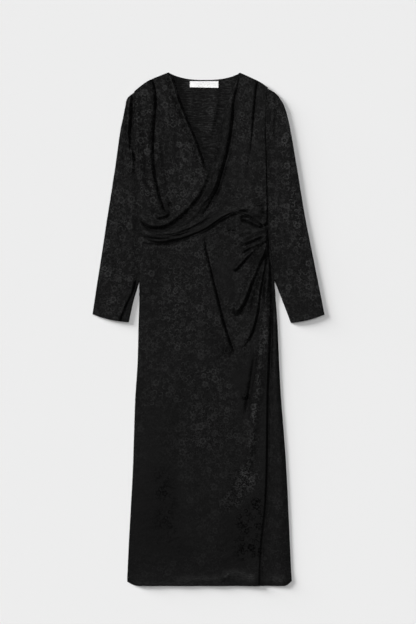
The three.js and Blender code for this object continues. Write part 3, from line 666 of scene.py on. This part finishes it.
OVER_FOLDS = [
    (1.3, 14, 0, 0.3, 0.4, [(104, 660), (98, 600), (92, 540), (84, 480)]),
    (1.2, 16, 0, 0.3, 0.4, [(146, 600), (144, 520), (140, 450), (132, 390)]),
    (-1.4, 8, 0, 0.3, 0.5, [(112, 482), (110, 440), (104, 400), (94, 366)]),
    (-2.2, 8, 0, 0.3, 0.2, [(118, 308), (130, 301), (142, 295), (152, 290)]),
    (-1.0, 5, 0, 0.3, 0.2, [(153, 356), (153, 336), (152, 314), (151, 300)]),
    (3.4, 7, 16, 0.3, 0.3, [(62, 313), (80, 322), (98, 326), (109, 321)]),
    (1.0, 3, 0, 0.3, 0.3, [(34, 440), (20, 400), (2, 364), (-20, 338), (-44, 314)]),
    (-1.0, 2.6, 0, 0.3, 0.3, [(27, 440), (12, 398), (-6, 362), (-28, 336), (-52, 314)]),
    (-2.2, 2.8, 0, 0.0, 0.35, [(-192, 264), (-181, 253), (-166, 248), (-149, 245), (-120, 244),
     (-96, 248)]),
    (-1.8, 2.6, 0, 0.35, 0.35, [(-112, 252), (-92, 253), (-70, 257), (-46, 266)]),
    (-2.0, 3.2, 0, 0.2, 0.3, [(-188, 276), (-178, 266), (-166, 260)]),
]
SKIRT_FOLDS = [
    (-3.0, 5.0, 0, 0.2, 0.1, [(-170, 233), (-130, 228), (-90, 234), (-44, 249), (2, 270), (44, 299),
     (70, 312), (90, 317)]),
    (-3.0, 8, 0, 0.3, 0.2, [(-30, 255), (2, 268), (40, 293), (66, 308), (92, 314), (104, 308)]),
    (8.0, 10.0, 16, 0.35, 0.0, [(83, 235), (98, 236), (111, 239), (122, 244), (133, 249),
     (145, 254), (158, 258)]),
    (6.0, 6.0, 11, 0.3, 0.0, [(86, 204), (105, 218), (124, 228), (141, 236), (156, 244)]),
    (4.8, 5.0, 13, 0.2, 0.0, [(67, 157), (78, 167), (102, 194), (127, 218), (144, 232), (158, 241)]),
    (8.0, 8.5, 26, 0.12, 0.0, [(70, 38), (83, 53), (100, 84), (116, 128), (127, 155), (138, 183),
     (147, 201), (155, 224), (160, 236)]),
    (5.2, 5.5, 28, 0.35, 0.0, [(86, -54), (100, -38), (119, -5), (132, 46), (136, 80), (141, 112),
     (147, 145), (155, 188), (160, 226)]),
    (-2.6, 3.5, 0, 0.3, 0.1, [(138, 199), (146, 211), (153, 222)]),
    (2.4, 6, 0, 0.3, 0.0, [(152, 40), (158, 110), (162, 170), (165, 222)]),
    (6.0, 10, 16, 0.25, 0.25, [(86, 303), (105, 299), (124, 289)]),
    (4.6, 8, 12, 0.25, 0.25, [(119, 290), (132, 285), (147, 278)]),
    (1.8, 7, 0, 0.3, 0.3, [(60, 230), (76, 252), (100, 266), (130, 270)]),
    (-1.8, 4.5, 0, 0.3, 0.3, [(48, 262), (62, 266), (80, 262)]),
    (-1.2, 4, 0, 0.0, 0.4, [(-192, 236), (-172, 231), (-148, 228), (-122, 229)]),
    (1.9, 16, 0, 0.3, 0.4, [(30, 190), (44, 140), (56, 90), (66, 40)]),
    (3.2, 15, 0, 0.3, 0.5, [(154, 80), (146, -50), (137, -130), (130, -190), (121, -262),
     (112, -345), (98, -400), (90, -470)]),
    (-2.8, 7, 0, 0.25, 0.35, [(130, -50), (126, -90), (120, -130), (113, -175), (104, -225),
     (94, -270)]),
    (1.2, 26, 0, 0.3, 0.2, [(40, -180), (50, -320), (40, -460), (20, -600), (8, -700)]),
    (-1.1, 22, 0, 0.3, 0.2, [(-60, -60), (-70, -240), (-80, -420), (-86, -600)]),
    (1.1, 30, 0, 0.3, 0.2, [(-130, -100), (-140, -320), (-150, -560)]),
]
HEM_FOLDS = [
    (0.9, 8, 0, 0.3, 0.3, [(-100, -690), (-40, -684), (0, -686), (42, -680), (60, -668), (94, -670),
     (127, -680)]),
    (0.8, 8, 0, 0.3, 0.2, [(151, -694), (176, -683), (200, -680), (222, -690)]),
]
RIGHT_SLEEVE_FOLDS = [
    (2.4, 3, 14, 0.1, 0.5, [(-206, 520), (-210, 480), (-212, 443), (-215, 420), (-212, 380)]),
    (-1.4, 6, 0, 0.3, 0.3, [(-222, 560), (-228, 500), (-230, 440), (-226, 380)]),
    (1.2, 14, 0, 0.3, 0.3, [(-236, 420), (-248, 330), (-256, 240), (-266, 160)]),
    (-0.9, 10, 0, 0.3, 0.3, [(-214, 330), (-226, 270), (-240, 220)]),
    (3.6, 5, 22, 0.15, 0.1, [(-246, 16), (-238, 40), (-230, 60), (-220, 80), (-213, 94),
     (-206, 113), (-198, 136)]),
    (4.4, 8, 0, 0.05, 0.4, [(-214, 634), (-219, 600), (-220, 560), (-222, 520), (-224, 470)]),
]
LEFT_SLEEVE_FOLDS = [
    (-1.3, 8, 0, 0.0, 0.5, [(182, 640), (188, 592), (184, 560), (183, 500), (186, 430), (190, 380)]),
    (1.6, 16, 0, 0.2, 0.2, [(206, 560), (214, 460), (226, 350), (240, 250), (254, 150)]),
    (-1.0, 11, 0, 0.3, 0.3, [(178, 330), (196, 250), (216, 180)]),
    (1.4, 7, 0, 0.1, 0.4, [(172, 642), (172, 600), (170, 540), (170, 480)]),
]


def painted_sheen_map(x, y, rows, base=0.62):
    """Painted sheen: how much brighter the woven figure is painted where light would catch it, and darker
    where the value is below 0, as painted highlight and shade: a base painted brighter towards the top and
    darker towards the bottom, and soft stripes along lines.
    """
    total = base * (1 + 0.35 * smooth(y, -250, 250) - 0.45 * smooth(y, -250, -500))
    for amount, width, line in rows:
        d, share = off_line(x, y, line)
        total += amount * np.exp(-(d / width) ** 2) * ends(share, 0.15, 0.15)
    return np.clip(total, -0.7, 2.8)


# Painted highlight and shade of the figure along lines: amount, width and line; an amount below 0 paints
# the figure darker.
SKIRT_PAINTED_SHEEN = [
    (1.2, 10, [(155, 80), (154, -10), (144, -66), (136, -121), (129, -194), (119, -271),
     (116, -345), (100, -385), (90, -470)]),
    (0.2, 50, [(-60, 180), (-80, 60), (-60, -60)]),
    (0.2, 60, [(0, -80), (0, -240), (20, -330)]),
    (-0.35, 60, [(-150, -200), (-150, -400), (-140, -640)]),
    (-0.35, 22, [(160, 60), (158, -200), (150, -480), (136, -640)]),
    (-0.36, 34, [(-122, -360), (-108, -460), (-92, -550), (-62, -640)]),
    (-0.72, 42, [(118, -420), (104, -500), (96, -560), (108, -650)]),
    (1.3, 30, [(44, -452), (66, -462), (96, -430), (108, -380)]),
    (-0.3, 40, [(60, 60), (60, 140), (60, 200)]),
    (-0.9, 13, [(121, -70), (116, -120), (107, -175), (98, -245)]),
    (-0.55, 18, [(70, -110), (86, -150), (98, -200)]),
]
PAINTED_HEM_GLINT = [  # painted glint: bright streaks of the satin along the hem
    (1.2, 4, [(-210, -691), (-167, -694), (-107, -694), (-38, -694), (45, -695)]),
    (1.0, 8, [(-98, -689), (-40, -682), (-4, -685), (45, -691)]),
    (1.8, 5, [(42, -679), (60, -666), (94, -669), (127, -677)]),
    (1.2, 6, [(56, -676), (82, -677), (130, -681)]),
    (1.2, 4, [(151, -692), (176, -681), (197, -678), (218, -687)]),
    (2.2, 7, [(172, -688), (206, -689)]),
]
# Painted highlight stripes of the figure on the bodice.
BODICE_PAINTED_SHEEN = [
    (0.5, 20, [(-178, 660), (-176, 560), (-170, 430), (-158, 350)]),
    (0.45, 26, [(-100, 600), (-80, 480), (-60, 400)]),
    (0.1, 24, [(100, 620), (110, 520), (90, 420)]),
]
# Painted highlight stripes of the figure down the sleeves.
SLEEVE_PAINTED_SHEEN = [
    (0.7, 15, [(206, 560), (222, 440), (236, 340), (250, 240), (266, 120)]),
    (0.4, 22, [(-244, 520), (-258, 380), (-276, 230), (-290, 100)]),
]


def back_bodice():
    v = steps(0, 130, 1)
    u = steps(0, 40, 0.16, 70, 0.84, 40, 1)
    tip_r, tip_l = RIGHT_SHOULDER[0], LEFT_SHOULDER[-1]
    span = tip_r[0] + (tip_l[0] - tip_r[0]) * u
    top_y = np.where(span < BACK_NECK[0, 0], right_shoulder(span),
                     np.where(span > LEFT_SHOULDER[0, 0], left_shoulder(span), back_neck(span)))
    y = top_y[None, :] + (BACK_WAIST_Y - top_y[None, :]) * v[:, None]
    level = np.minimum(y, tip_r[1] + (tip_l[1] - tip_r[1]) * u[None, :])
    x = right_edge(level) * (1 - u[None, :]) + left_edge(level) * u[None, :]
    z = lift(x, y) + CLOTH - 0.3  # the thin cloth lies a little below the solid's upper face
    inner = smooth(from_side(x, y), 10, 60)
    z = z + inner * folds(x, y, [
        (2.4, 9, 26, 0.3, 0.3, [(4, 516), (10, 550), (20, 600), (26, 648)]),
        (0.8, 16, 0, 0.3, 0.4, [(-50, 640), (-42, 560), (-30, 500)])])
    neck = np.abs(back_neck(np.clip(x, BACK_NECK[0, 0], BACK_NECK[-1, 0])) - y)
    at_neck = (x > NECK_ENDS[0]) & (x < NECK_ENDS[1])
    z = np.maximum(z + 0.5 * np.exp(-((neck - 3.5) / 2.6) ** 2) * at_neck, THIN)
    # One even level of painted highlight in the figure on the back bodice.
    layers = {"edge": np.where(at_neck, neck, FAR), "along": x, "painted_sheen": np.full(x.shape, 0.7)}
    top = grid(x, y, z)
    piece = cloth("back_bodice_cloth", top, grid(x, y), layers, (INSIDE, JACQUARD), top - [0, 0, THIN])
    finish_piece(piece, "bodice_back")


WRAP_EDGE = [(12, 474), (-2, 421), (-15, 389), (-27, 366), (-39, 349), (-55, 330), (-72, 314),
             (-95, 294), (-119, 279), (-140, 274), (-158, 276), (-175, 284), (-188, 290)]


def under_front():
    v = steps(0, 150, 1)
    rows = path(UNDER_ROWS)(v)
    side, pleat, neck = rows[:, 0:2], rows[:, 2:4], rows[:, 4:6]
    pleat_height = path([4.4, 5.2, 5.4, 4.8, 4.2, 3.6, 3.4, 3.4, 1.0, 0.0])(v)[:, 0]
    x, y, z_fold = across_panel([side, pleat, neck], [24, 50], {1: (pleat_height, 26)})
    shoulder = (right_shoulder(x) - y) * ((1 - v) ** 5)[:, None]
    waist = (waist_seam(x) + 1.5 - y) * (v**8)[:, None]
    y = y + shoulder + waist
    u_mm, v_mm = distances(x, y)
    to_neck = u_mm[:, -1:] - u_mm
    visible = smooth(neck[:, 1], 425, 460)[:, None]
    lip = (1 - (1 - np.clip(to_neck / 8, 0, 1)) ** 1.4) * (1 - smooth(to_neck, 8, 26))
    roll = 4.4 * lip * visible * smooth(v, 0, 0.1)[:, None]
    covered = smooth(y - waist_seam(x), 18, 60)
    near_side = smooth(u_mm, 0, 5)
    d, share = off_line(x, y, WRAP_EDGE)
    crest = 2.5 + 3.5 * smooth(share, 0.5, 0.75)
    bank_height = path([0.6, 2.6, 4.0, 4.8, 5.2, 5.6, 6.0, 6.0, 5.0, 3.0])(share.ravel())
    bank = bank_height.reshape(share.shape) * smooth(-d, crest - 10, crest)
    bank = bank * (1 - smooth(-d - crest, 0.5, 28)) * smooth(y - waist_seam(x), 0, 10)
    z = first_layer(x, y) + ((z_fold + roll) * covered + bank) * near_side
    z = z + folds(x, y, UNDER_FOLDS) * smooth(u_mm, 0, 10) * covered * smooth(v, 0, 0.04)[:, None]
    z = z + 0.35 * wrinkles(x, y, 90, 3) * covered * smooth(u_mm, 0, 20)
    edge_drop = 0.95 * (1 - smooth(u_mm, 0, 5.0)) ** 2
    z = z - edge_drop * (y > waist_seam(x))
    z = np.maximum(z, lift(x, y) + 1.8)
    under_wrap = first_layer(x, y) + 0.2
    beyond = smooth(x - under_neckline(y), -6, 4)
    z = np.where((to_neck < 60) & (neck[:, 1:2] < 455), np.minimum(z, under_wrap + 6 * (1 - beyond)), z)
    # The layers give the stitch edge and the painted highlight and shade of the figure along the bodice's
    # lines.
    layers = {"edge": np.minimum(to_neck, 60), "along": v_mm, "painted_sheen": painted_sheen_map(x, y, BODICE_PAINTED_SHEEN)}
    piece = cloth("under_front_cloth", grid(x, y, z), grid(x + 0.12 * y, y), layers, (JACQUARD, INSIDE))
    finish_piece(piece, "bodice_front_under")


def over_front():
    v = steps(0, 210, 1)
    rows = path(OVER_ROWS)(v)
    sizes = path(OVER_SIZES)(v)
    neck, valley, pleat, out = rows[:, 0:2], rows[:, 2:4], rows[:, 4:6], rows[:, 6:8]
    tucked = 0.24 * smooth(v, 0.2, 0.4) * (1 - smooth(v, 0.93, 1))
    neck = neck + (valley - neck) * tucked[:, None]
    pleat_height = path([3.4, 3.8, 3.6, 3.0, 2.0, 1.0] + [0] * 12)(v)[:, 0]
    pleat_height = np.clip(pleat_height, 0, None)
    step = np.clip(sizes[:, 1], 0, None)
    x, y, z_fold = across_panel([neck, valley, pleat, out], [14, 30, 16],
                                {1: (step, 24), 2: (pleat_height, 20)})
    y = y + (left_shoulder(x) - y) * ((1 - v) ** 12)[:, None]
    from_neck, v_mm = distances(x, y)
    width = from_neck[:, -1:]
    to_out = width - from_neck
    to_valley = np.hypot(*(valley - neck).T)[:, None]
    roll_h, cloth_h, out_h = sizes[:, 0:1], sizes[:, 2:3], sizes[:, 3:4]
    share = np.clip(from_neck / to_valley, 0, 1)
    left_end = smooth(v, 0.62, 0.72)[:, None]
    steep = smooth(v, 0.2, 0.4)[:, None] * (1 - left_end)
    soft_rise = np.sin(np.clip(share * 0.92 + 0.08, 0, 1) * math.pi) ** 0.8
    late = smooth(v, 0.4, 0.6)[:, None]
    steep_rise = smooth(from_neck, -3, 14) * (1 - 0.4 * smooth(share, 0.45, 1))
    steep_rise = steep_rise * (1 - late * smooth(from_neck / to_valley, 1, 3.0))
    ramp = np.clip(from_neck / 12, 0, 1) * (1 - smooth(from_neck / to_valley, 0.7, 1.5))
    rise = soft_rise * (1 - steep - left_end) + steep_rise * steep + ramp * left_end
    roll = (roll_h - step[:, None] * 0.55) * rise
    body = cloth_h * smooth(from_neck, to_valley * 0.7, to_valley * 1.4)
    past = np.clip((from_neck - to_valley) / np.maximum(width - to_valley, 1), 0, 1)
    body = body + (out_h - cloth_h) * smooth(past, 0.55, 0.98)
    neck_w = 4 - 2 * left_end
    lips = np.sqrt(np.clip(1 - (1 - np.clip(from_neck / neck_w, 0, 1)) ** 2, 0, 1))
    out_w = 3 + 7.5 * smooth(out_h, 1, 5)
    lips = lips * (1 - (1 - np.clip(to_out / out_w, 0, 1)) ** 1.6)
    on_under = 1 - smooth(x - under_neckline(y), 8, 45)
    on_skirt = 1 - smooth(y - waist_seam(x), 6, 36)
    seat = lift(x, y) + CLOTH + LAY_GAP + CLOTH
    base = seat * (1 - on_under) + (first_layer(x, y) + WRAP_GAP + CLOTH) * on_under
    base = base * (1 - on_skirt) + (skirt_layer(x, y) + WRAP_GAP + CLOTH) * on_skirt
    at_shoulder = smooth(v, 0, 0.05)[:, None]
    groove = (0.3 * late - 0.62) * step[:, None] * np.exp(-((from_neck - to_valley - 3) / 5.0) ** 2)
    at_side = smooth(1 - v, 0, 0.03)[:, None]
    creases = folds(x, y, OVER_FOLDS) * at_side
    z = base + np.maximum(roll + body + z_fold + groove + creases, 0.1) * lips * at_shoulder
    z = z + 0.35 * wrinkles(x, y, 80, 5) * lips * at_shoulder
    free_edge = np.minimum(from_neck, np.where(v[:, None] > 0.52, to_out, 60))
    # Painted highlight and shade of the figure along the bodice's lines, weaker towards the over front's
    # left end.
    layers = {"edge": np.minimum(free_edge + 1.0, 60), "along": v_mm,
              "painted_sheen": painted_sheen_map(x, y, BODICE_PAINTED_SHEEN) * (0.6 + 0.2 * smooth(v, 0.9, 0.4)[:, None])}
    piece = cloth("over_front_cloth", grid(x, y, z), grid(from_neck + 40, v_mm), layers, (JACQUARD, INSIDE))
    finish_piece(piece, "bodice_front_over")


TUCK_TOP, TUCK_POINT = 284, -94
MOST_CREASE = 13  # creases that cross are held softly under this height


def front_skirt():
    share = steps(0, 235, 1)
    v = 0.45 * share + 0.55 * share**2
    level = 300 + (HEM_Y - 300) * v
    right, tuck, left = right_edge(np.minimum(level, 268)), tuck_line(level), side_seam(level)
    stations = [np.stack([s, level], axis=1) for s in (right, tuck, left)]
    tuck_height = path([2.2, 2.6, 3.0, 3.4, 4.0, 4.6, 5.2, 5.4, 5.2, 4.6, 0])
    tuck_share = (TUCK_TOP - level) / (TUCK_TOP - TUCK_POINT)
    height = np.where((tuck_share > 0) & (tuck_share < 1), tuck_height(tuck_share)[:, 0], 0)
    height = np.clip(height, 0, None) * smooth(tuck_share, -0.02, 0.1)
    x, _, z_fold = across_panel(stations, [62, 60], {1: (height, 46)})
    y = waist_seam(x) + (hem_y(x) - waist_seam(x)) * v[:, None]
    u_mm, v_mm = distances(x, y)
    open_ = smooth(waist_seam(x) - y, 10, 34)
    side = smooth(u_mm, 0, 12)
    to_seam = side_seam(y) - x
    z = skirt_layer(x, y) + z_fold * open_
    creases = folds(x, y, SKIRT_FOLDS)
    creases = np.where(creases > 0, MOST_CREASE * np.tanh(creases / MOST_CREASE), creases)
    z = z + creases * open_ * side * smooth(to_seam, -1, 5)
    z = z + 0.45 * wrinkles(x, y, 150, 8) * open_ * smooth(u_mm, 0, 40)
    to_hem = y - hem_y(x)
    near_hem = 1 - smooth(to_hem, 0, 60)
    waves = 0.7 + 0.6 * np.sin(x / 92 * 2 * math.pi) + 0.5 * wrinkles(x, y, 40, 4)
    z = z + near_hem * smooth(u_mm, 0, 30) * waves
    z = z + folds(x, y, HEM_FOLDS) * side
    z = z + 0.45 * (1 - smooth(to_hem, *HEM_TURN)) * side
    z = np.maximum(z, lift(x, y) + 2.1)
    z = z - 0.8 * (1 - smooth(u_mm, 0, 3.0)) ** 2
    low = smooth(y, -340, -560)
    z = z - (2.7 - 1.3 * low) * (1 - smooth(to_seam, 0, 8)) ** 1.1 * open_
    z = np.where(to_seam < 9, np.maximum(z, lift(x, y) + 2.8), z)
    # Painted highlight and shade of the figure along the skirt's lines, and painted glint in bright streaks
    # along the hem.
    layers = {"edge": np.abs(to_hem), "along": x, "painted_sheen": painted_sheen_map(x, y, SKIRT_PAINTED_SHEEN, 0.55),
              "painted_hem_glint": painted_sheen_map(x, y, PAINTED_HEM_GLINT, 0)}
    piece = cloth("front_skirt_cloth", grid(x, y, z), grid(x, y), layers, (JACQUARD, INSIDE))
    finish_piece(piece, "skirt_front")


def back_skirt():
    share = steps(0, 120, 1)
    v = 0.55 * share + 0.45 * share**2.2
    level = BACK_WAIST_Y - SEAM + (HEM_Y - BACK_WAIST_Y + SEAM) * v
    radius = PRESSED / 2
    start, turn = right_edge(level), left_edge(level) - radius
    end = np.minimum(side_seam(level) - 6, turn - 2)
    xs, zs = [], []
    flat, bends = steps(0, 30, 0.2, 34, 0.8, 30, 1), np.linspace(0.12, 0.88, 7)
    for s in flat:
        xs.append(start * (1 - s) + turn * s)
        zs.append(np.full(len(level), THIN))
    for s in bends:
        xs.append(turn + (radius - THIN) * math.sin(s * math.pi))
        zs.append(np.full(len(level), radius - (radius - THIN) * math.cos(s * math.pi)))
    for s in steps(0, 44, 1):
        xs.append(turn * (1 - s) + end * s)
        sunk = 0.9 * (1 - smooth((1 - s) * (turn - end), 6, 12))
        hump = 1.8 * math.sin(min(s * 1.5, 1) * math.pi) * smooth(turn - end, 8, 30)
        zs.append(PRESSED - THIN + hump - sunk)
    x, z = np.stack(xs, axis=1), np.stack(zs, axis=1)
    hem = (v**12)[:, None]
    y = level[:, None] * (1 - hem) + hem_y(x) * hem
    z = z + lift(x, y)
    column_of = np.arange(x.shape[1])[None, :]
    over = column_of >= len(flat) + len(bends)
    to_hem = y - hem_y(x)
    z = z + over * 0.4 * wrinkles(x, y, 120, 12)
    z = z + over * 0.4 * (1 - smooth(to_hem, *HEM_TURN))
    z = z + over * 0.6 * (1 - smooth(to_hem, 0, 50)) * (1 + np.sin(x / 41))
    z = z + over * folds(x, y, HEM_FOLDS)
    inner = grid(x, y, z)
    outer = inner - grid_normals(inner) * THIN
    outer[..., 2] = np.where(column_of < len(flat), lift(x, y), outer[..., 2])
    u_mm = from_first(np.abs(np.diff(x, axis=1)) + np.abs(np.diff(z, axis=1)), 1)
    # An even, low painted sheen, and the hem's painted glint on the part that shows.
    layers = {"edge": np.abs(to_hem), "along": x, "painted_sheen": np.full(x.shape, 0.4),
              "painted_hem_glint": over * painted_sheen_map(x, y, PAINTED_HEM_GLINT, 0)}
    piece = cloth("back_skirt_cloth", inner, grid(u_mm, y), layers, (INSIDE, JACQUARD), outer)
    finish_piece(piece, "skirt_back")


def sleeve(name, area, table, body_edge, outward, crease_rows):
    """A sleeve is a flattened tube. outward is the way from the body, along x."""
    v = steps(0, 190, 1)
    rows = path(table)(v)
    out, inn = rows[:, 0:2], rows[:, 2:4]
    width = np.hypot(*(inn - out).T)
    profile = steps(0, 8, 0.03, 54, 0.97, 8, 1)
    below = steps(1, 8, 0.97, 20, 0.03, 8, 0)[1:-1]
    bow = 4 * v**10

    def ring(shares, upper, inset):
        along = inset + shares[None, :] * (width[:, None] - 2 * inset)
        s = along / width[:, None]
        x = out[:, :1] * (1 - s) + inn[:, :1] * s
        y = out[:, 1:] * (1 - s) + inn[:, 1:] * s - bow[:, None] * np.sin(s * math.pi)
        fade = (36 if outward > 0 else 22) - 9 * smooth(y, 430, 520)
        clear = smooth((x - body_edge(y)) * outward, 2, fade)
        near = np.minimum(along, width[:, None] - along) - inset
        rounded = np.sqrt(np.clip(1 - (1 - np.clip(near / (3.2 - inset / 2), 0, 1)) ** 2, 0, 1))
        top = PRESSED + 2.4 * clear
        shape = folds(x, y, crease_rows) + 0.35 * wrinkles(x, y, 70, 21 if outward > 0 else 33)
        cuff = 1 - smooth(1 - v, 0, 0.05)
        shape = shape + 1.2 * cuff[:, None] * np.sin(np.clip(s, 0, 1) * math.pi)
        top = top + shape * clear * smooth(near, 0, 14)
        middle = PRESSED / 2
        if upper:
            z = middle + (top - inset - middle) * rounded
        else:
            z = middle + (inset - middle) * rounded
        return grid(x, y, z)

    def loop(inset):
        return np.concatenate([ring(profile, True, inset), ring(below, False, inset)], axis=1)

    outer, inner = loop(0.0), loop(THIN)
    if outward > 0:
        outer, inner = outer[:, ::-1], inner[:, ::-1]
    x, y = outer[..., 0], outer[..., 1]
    length = from_first(np.hypot(*np.diff(out, axis=0).T), 0)
    to_cuff = (length[-1] - length)[:, None] + np.zeros_like(x)
    over = np.zeros(x.shape, bool)
    over[:, :len(profile)] = True
    if outward > 0:
        over = over[:, ::-1]
    around = np.where(over, x, 2 * out[:, :1] - x)
    # Painted highlight of the figure in stripes down the sleeve.
    layers = {"edge": to_cuff, "along": around, "painted_sheen": painted_sheen_map(x, y, SLEEVE_PAINTED_SHEEN)}
    piece = cloth(name + "_cloth", outer, grid(around, y), layers, (JACQUARD, INSIDE), inner, wrapped=True)
    finish_piece(piece, name)


LABEL_LOW, LABEL_WIDTH, LABEL_HEIGHT, LABEL_THICK = (-51, 659.2), 78, 17.3, 0.5


def neck_label():
    u, v = steps(0, 26, 1)[None, :], steps(0, 12, 1)[:, None]
    x = LABEL_LOW[0] + LABEL_WIDTH * u + np.zeros_like(v)
    y = LABEL_LOW[1] + LABEL_HEIGHT * (1 - v) + (0.7 - 1.6 * u) * v
    bow = 0.35 * np.sin(u * math.pi) * (1 - v) + 0.25 * v ** 3
    z = CLOTH + 0.45 + bow + 0.12 * np.sin(u * 9) * v
    to_end = np.minimum(x - LABEL_LOW[0], LABEL_LOW[0] + LABEL_WIDTH - x)
    to_side = np.minimum(y - LABEL_LOW[1], LABEL_LOW[1] + LABEL_HEIGHT - y)
    layers = {"edge": np.minimum(to_end, to_side), "along": np.where(to_end < to_side, y, x)}
    piece = cloth("neck_label_tape", grid(x, y, z + LABEL_THICK), grid(x, y), layers,
                  (LABEL_TAPE, LABEL_TAPE), grid(x, y, z))
    finish_piece(piece, "neck_label")


FLOOR_HALF = 60.0  # metres, so that its far edge is never seen


def floor():
    mesh = bpy.data.meshes.new("Floor")
    s = FLOOR_HALF
    mesh.from_pydata([(-s, -s, 0), (s, -s, 0), (s, s, 0), (-s, s, 0)], [], [(0, 1, 2, 3)])
    made, n, shader = material("floor")
    cloudy = n.noise(n.fill(n.add("ShaderNodeNewGeometry"), {}, "Position"), 3.0)
    n.fill(shader, {"Base Color": n.grey(cloudy * 0.002 + 0.806), "Roughness": 0.9,
                    "Specular IOR Level": 0.0})
    mesh.materials.append(made)
    place("Floor", mesh)


# Camera: straight above, with the photograph's frame of 416 by 624 pixels at 2.733 mm each
PIXEL = 2.7328
FRAME_HIGH = 624 * PIXEL * MM
LENS, SENSOR = 85.0, 36.0
LOOK_AT = -1.4, 46


def camera():
    data = bpy.data.cameras.new("Camera")
    data.lens, data.sensor_width = LENS, SENSOR
    cam = place("Camera", data)
    distance = FRAME_HIGH / 2 / (SENSOR / 2 / LENS)
    cam.location = (LOOK_AT[0] * MM, LOOK_AT[1] * MM, distance)
    bpy.context.scene.camera = cam


KEY, KEY_HEIGHT, KEY_ANGLE = 10.5, math.radians(9.8), math.radians(20)
KEY_WAY = 0.88, -0.475  # the way that the key light shines, seen from above
OVERHEAD, HORIZON = 1.9, 0.08
BRIGHT = Vector((-0.04, 0.27, 1)).normalized()  # the middle of the broad light overhead
BRIGHT_SPREAD = math.radians(41)
RIM_HIGH, RIM_LOW, RIM = 0.09, 0.02, 0.85  # the pale band round the horizon


def lights():
    sun = bpy.data.lights.new("Key", "SUN")
    sun.energy, sun.angle = KEY, KEY_ANGLE
    key = place("Key", sun)
    key.rotation_euler = Vector((*KEY_WAY, -math.tan(KEY_HEIGHT))).to_track_quat("-Z", "Y").to_euler()
    key.visible_glossy = False
    world = bpy.data.worlds.new("World")
    bpy.context.scene.world = world
    world.use_nodes = True
    world.node_tree.nodes.clear()
    n = Nodes(world.node_tree)
    direction = n.fill(n.add("ShaderNodeTexCoord"), {}, "Generated")
    toward = n.vector("DOT_PRODUCT", direction, BRIGHT, "Value")
    strength = n.band(toward, math.cos(BRIGHT_SPREAD), 1.0, HORIZON, OVERHEAD)
    up = n.parts(direction)[2]
    strength = n.max(strength, n.band(up, RIM_HIGH, RIM_LOW, 0.0, RIM))
    background = n.fill(n.add("ShaderNodeBackground"), {0: (1, 1, 1, 1), 1: strength})
    n.put(n.add("ShaderNodeOutputWorld").inputs[0], background)


camera()
scene = bpy.context.scene
scene.view_settings.view_transform = "Standard"
scene.view_settings.look = "None"
floor()
lights()

sleeve("sleeve_right", 0.115, RIGHT_SLEEVE, right_edge, -1, RIGHT_SLEEVE_FOLDS)
sleeve("sleeve_left", 0.131, LEFT_SLEEVE, left_edge, 1, LEFT_SLEEVE_FOLDS)
back_bodice()
back_skirt()
under_front()
front_skirt()
over_front()
neck_label()
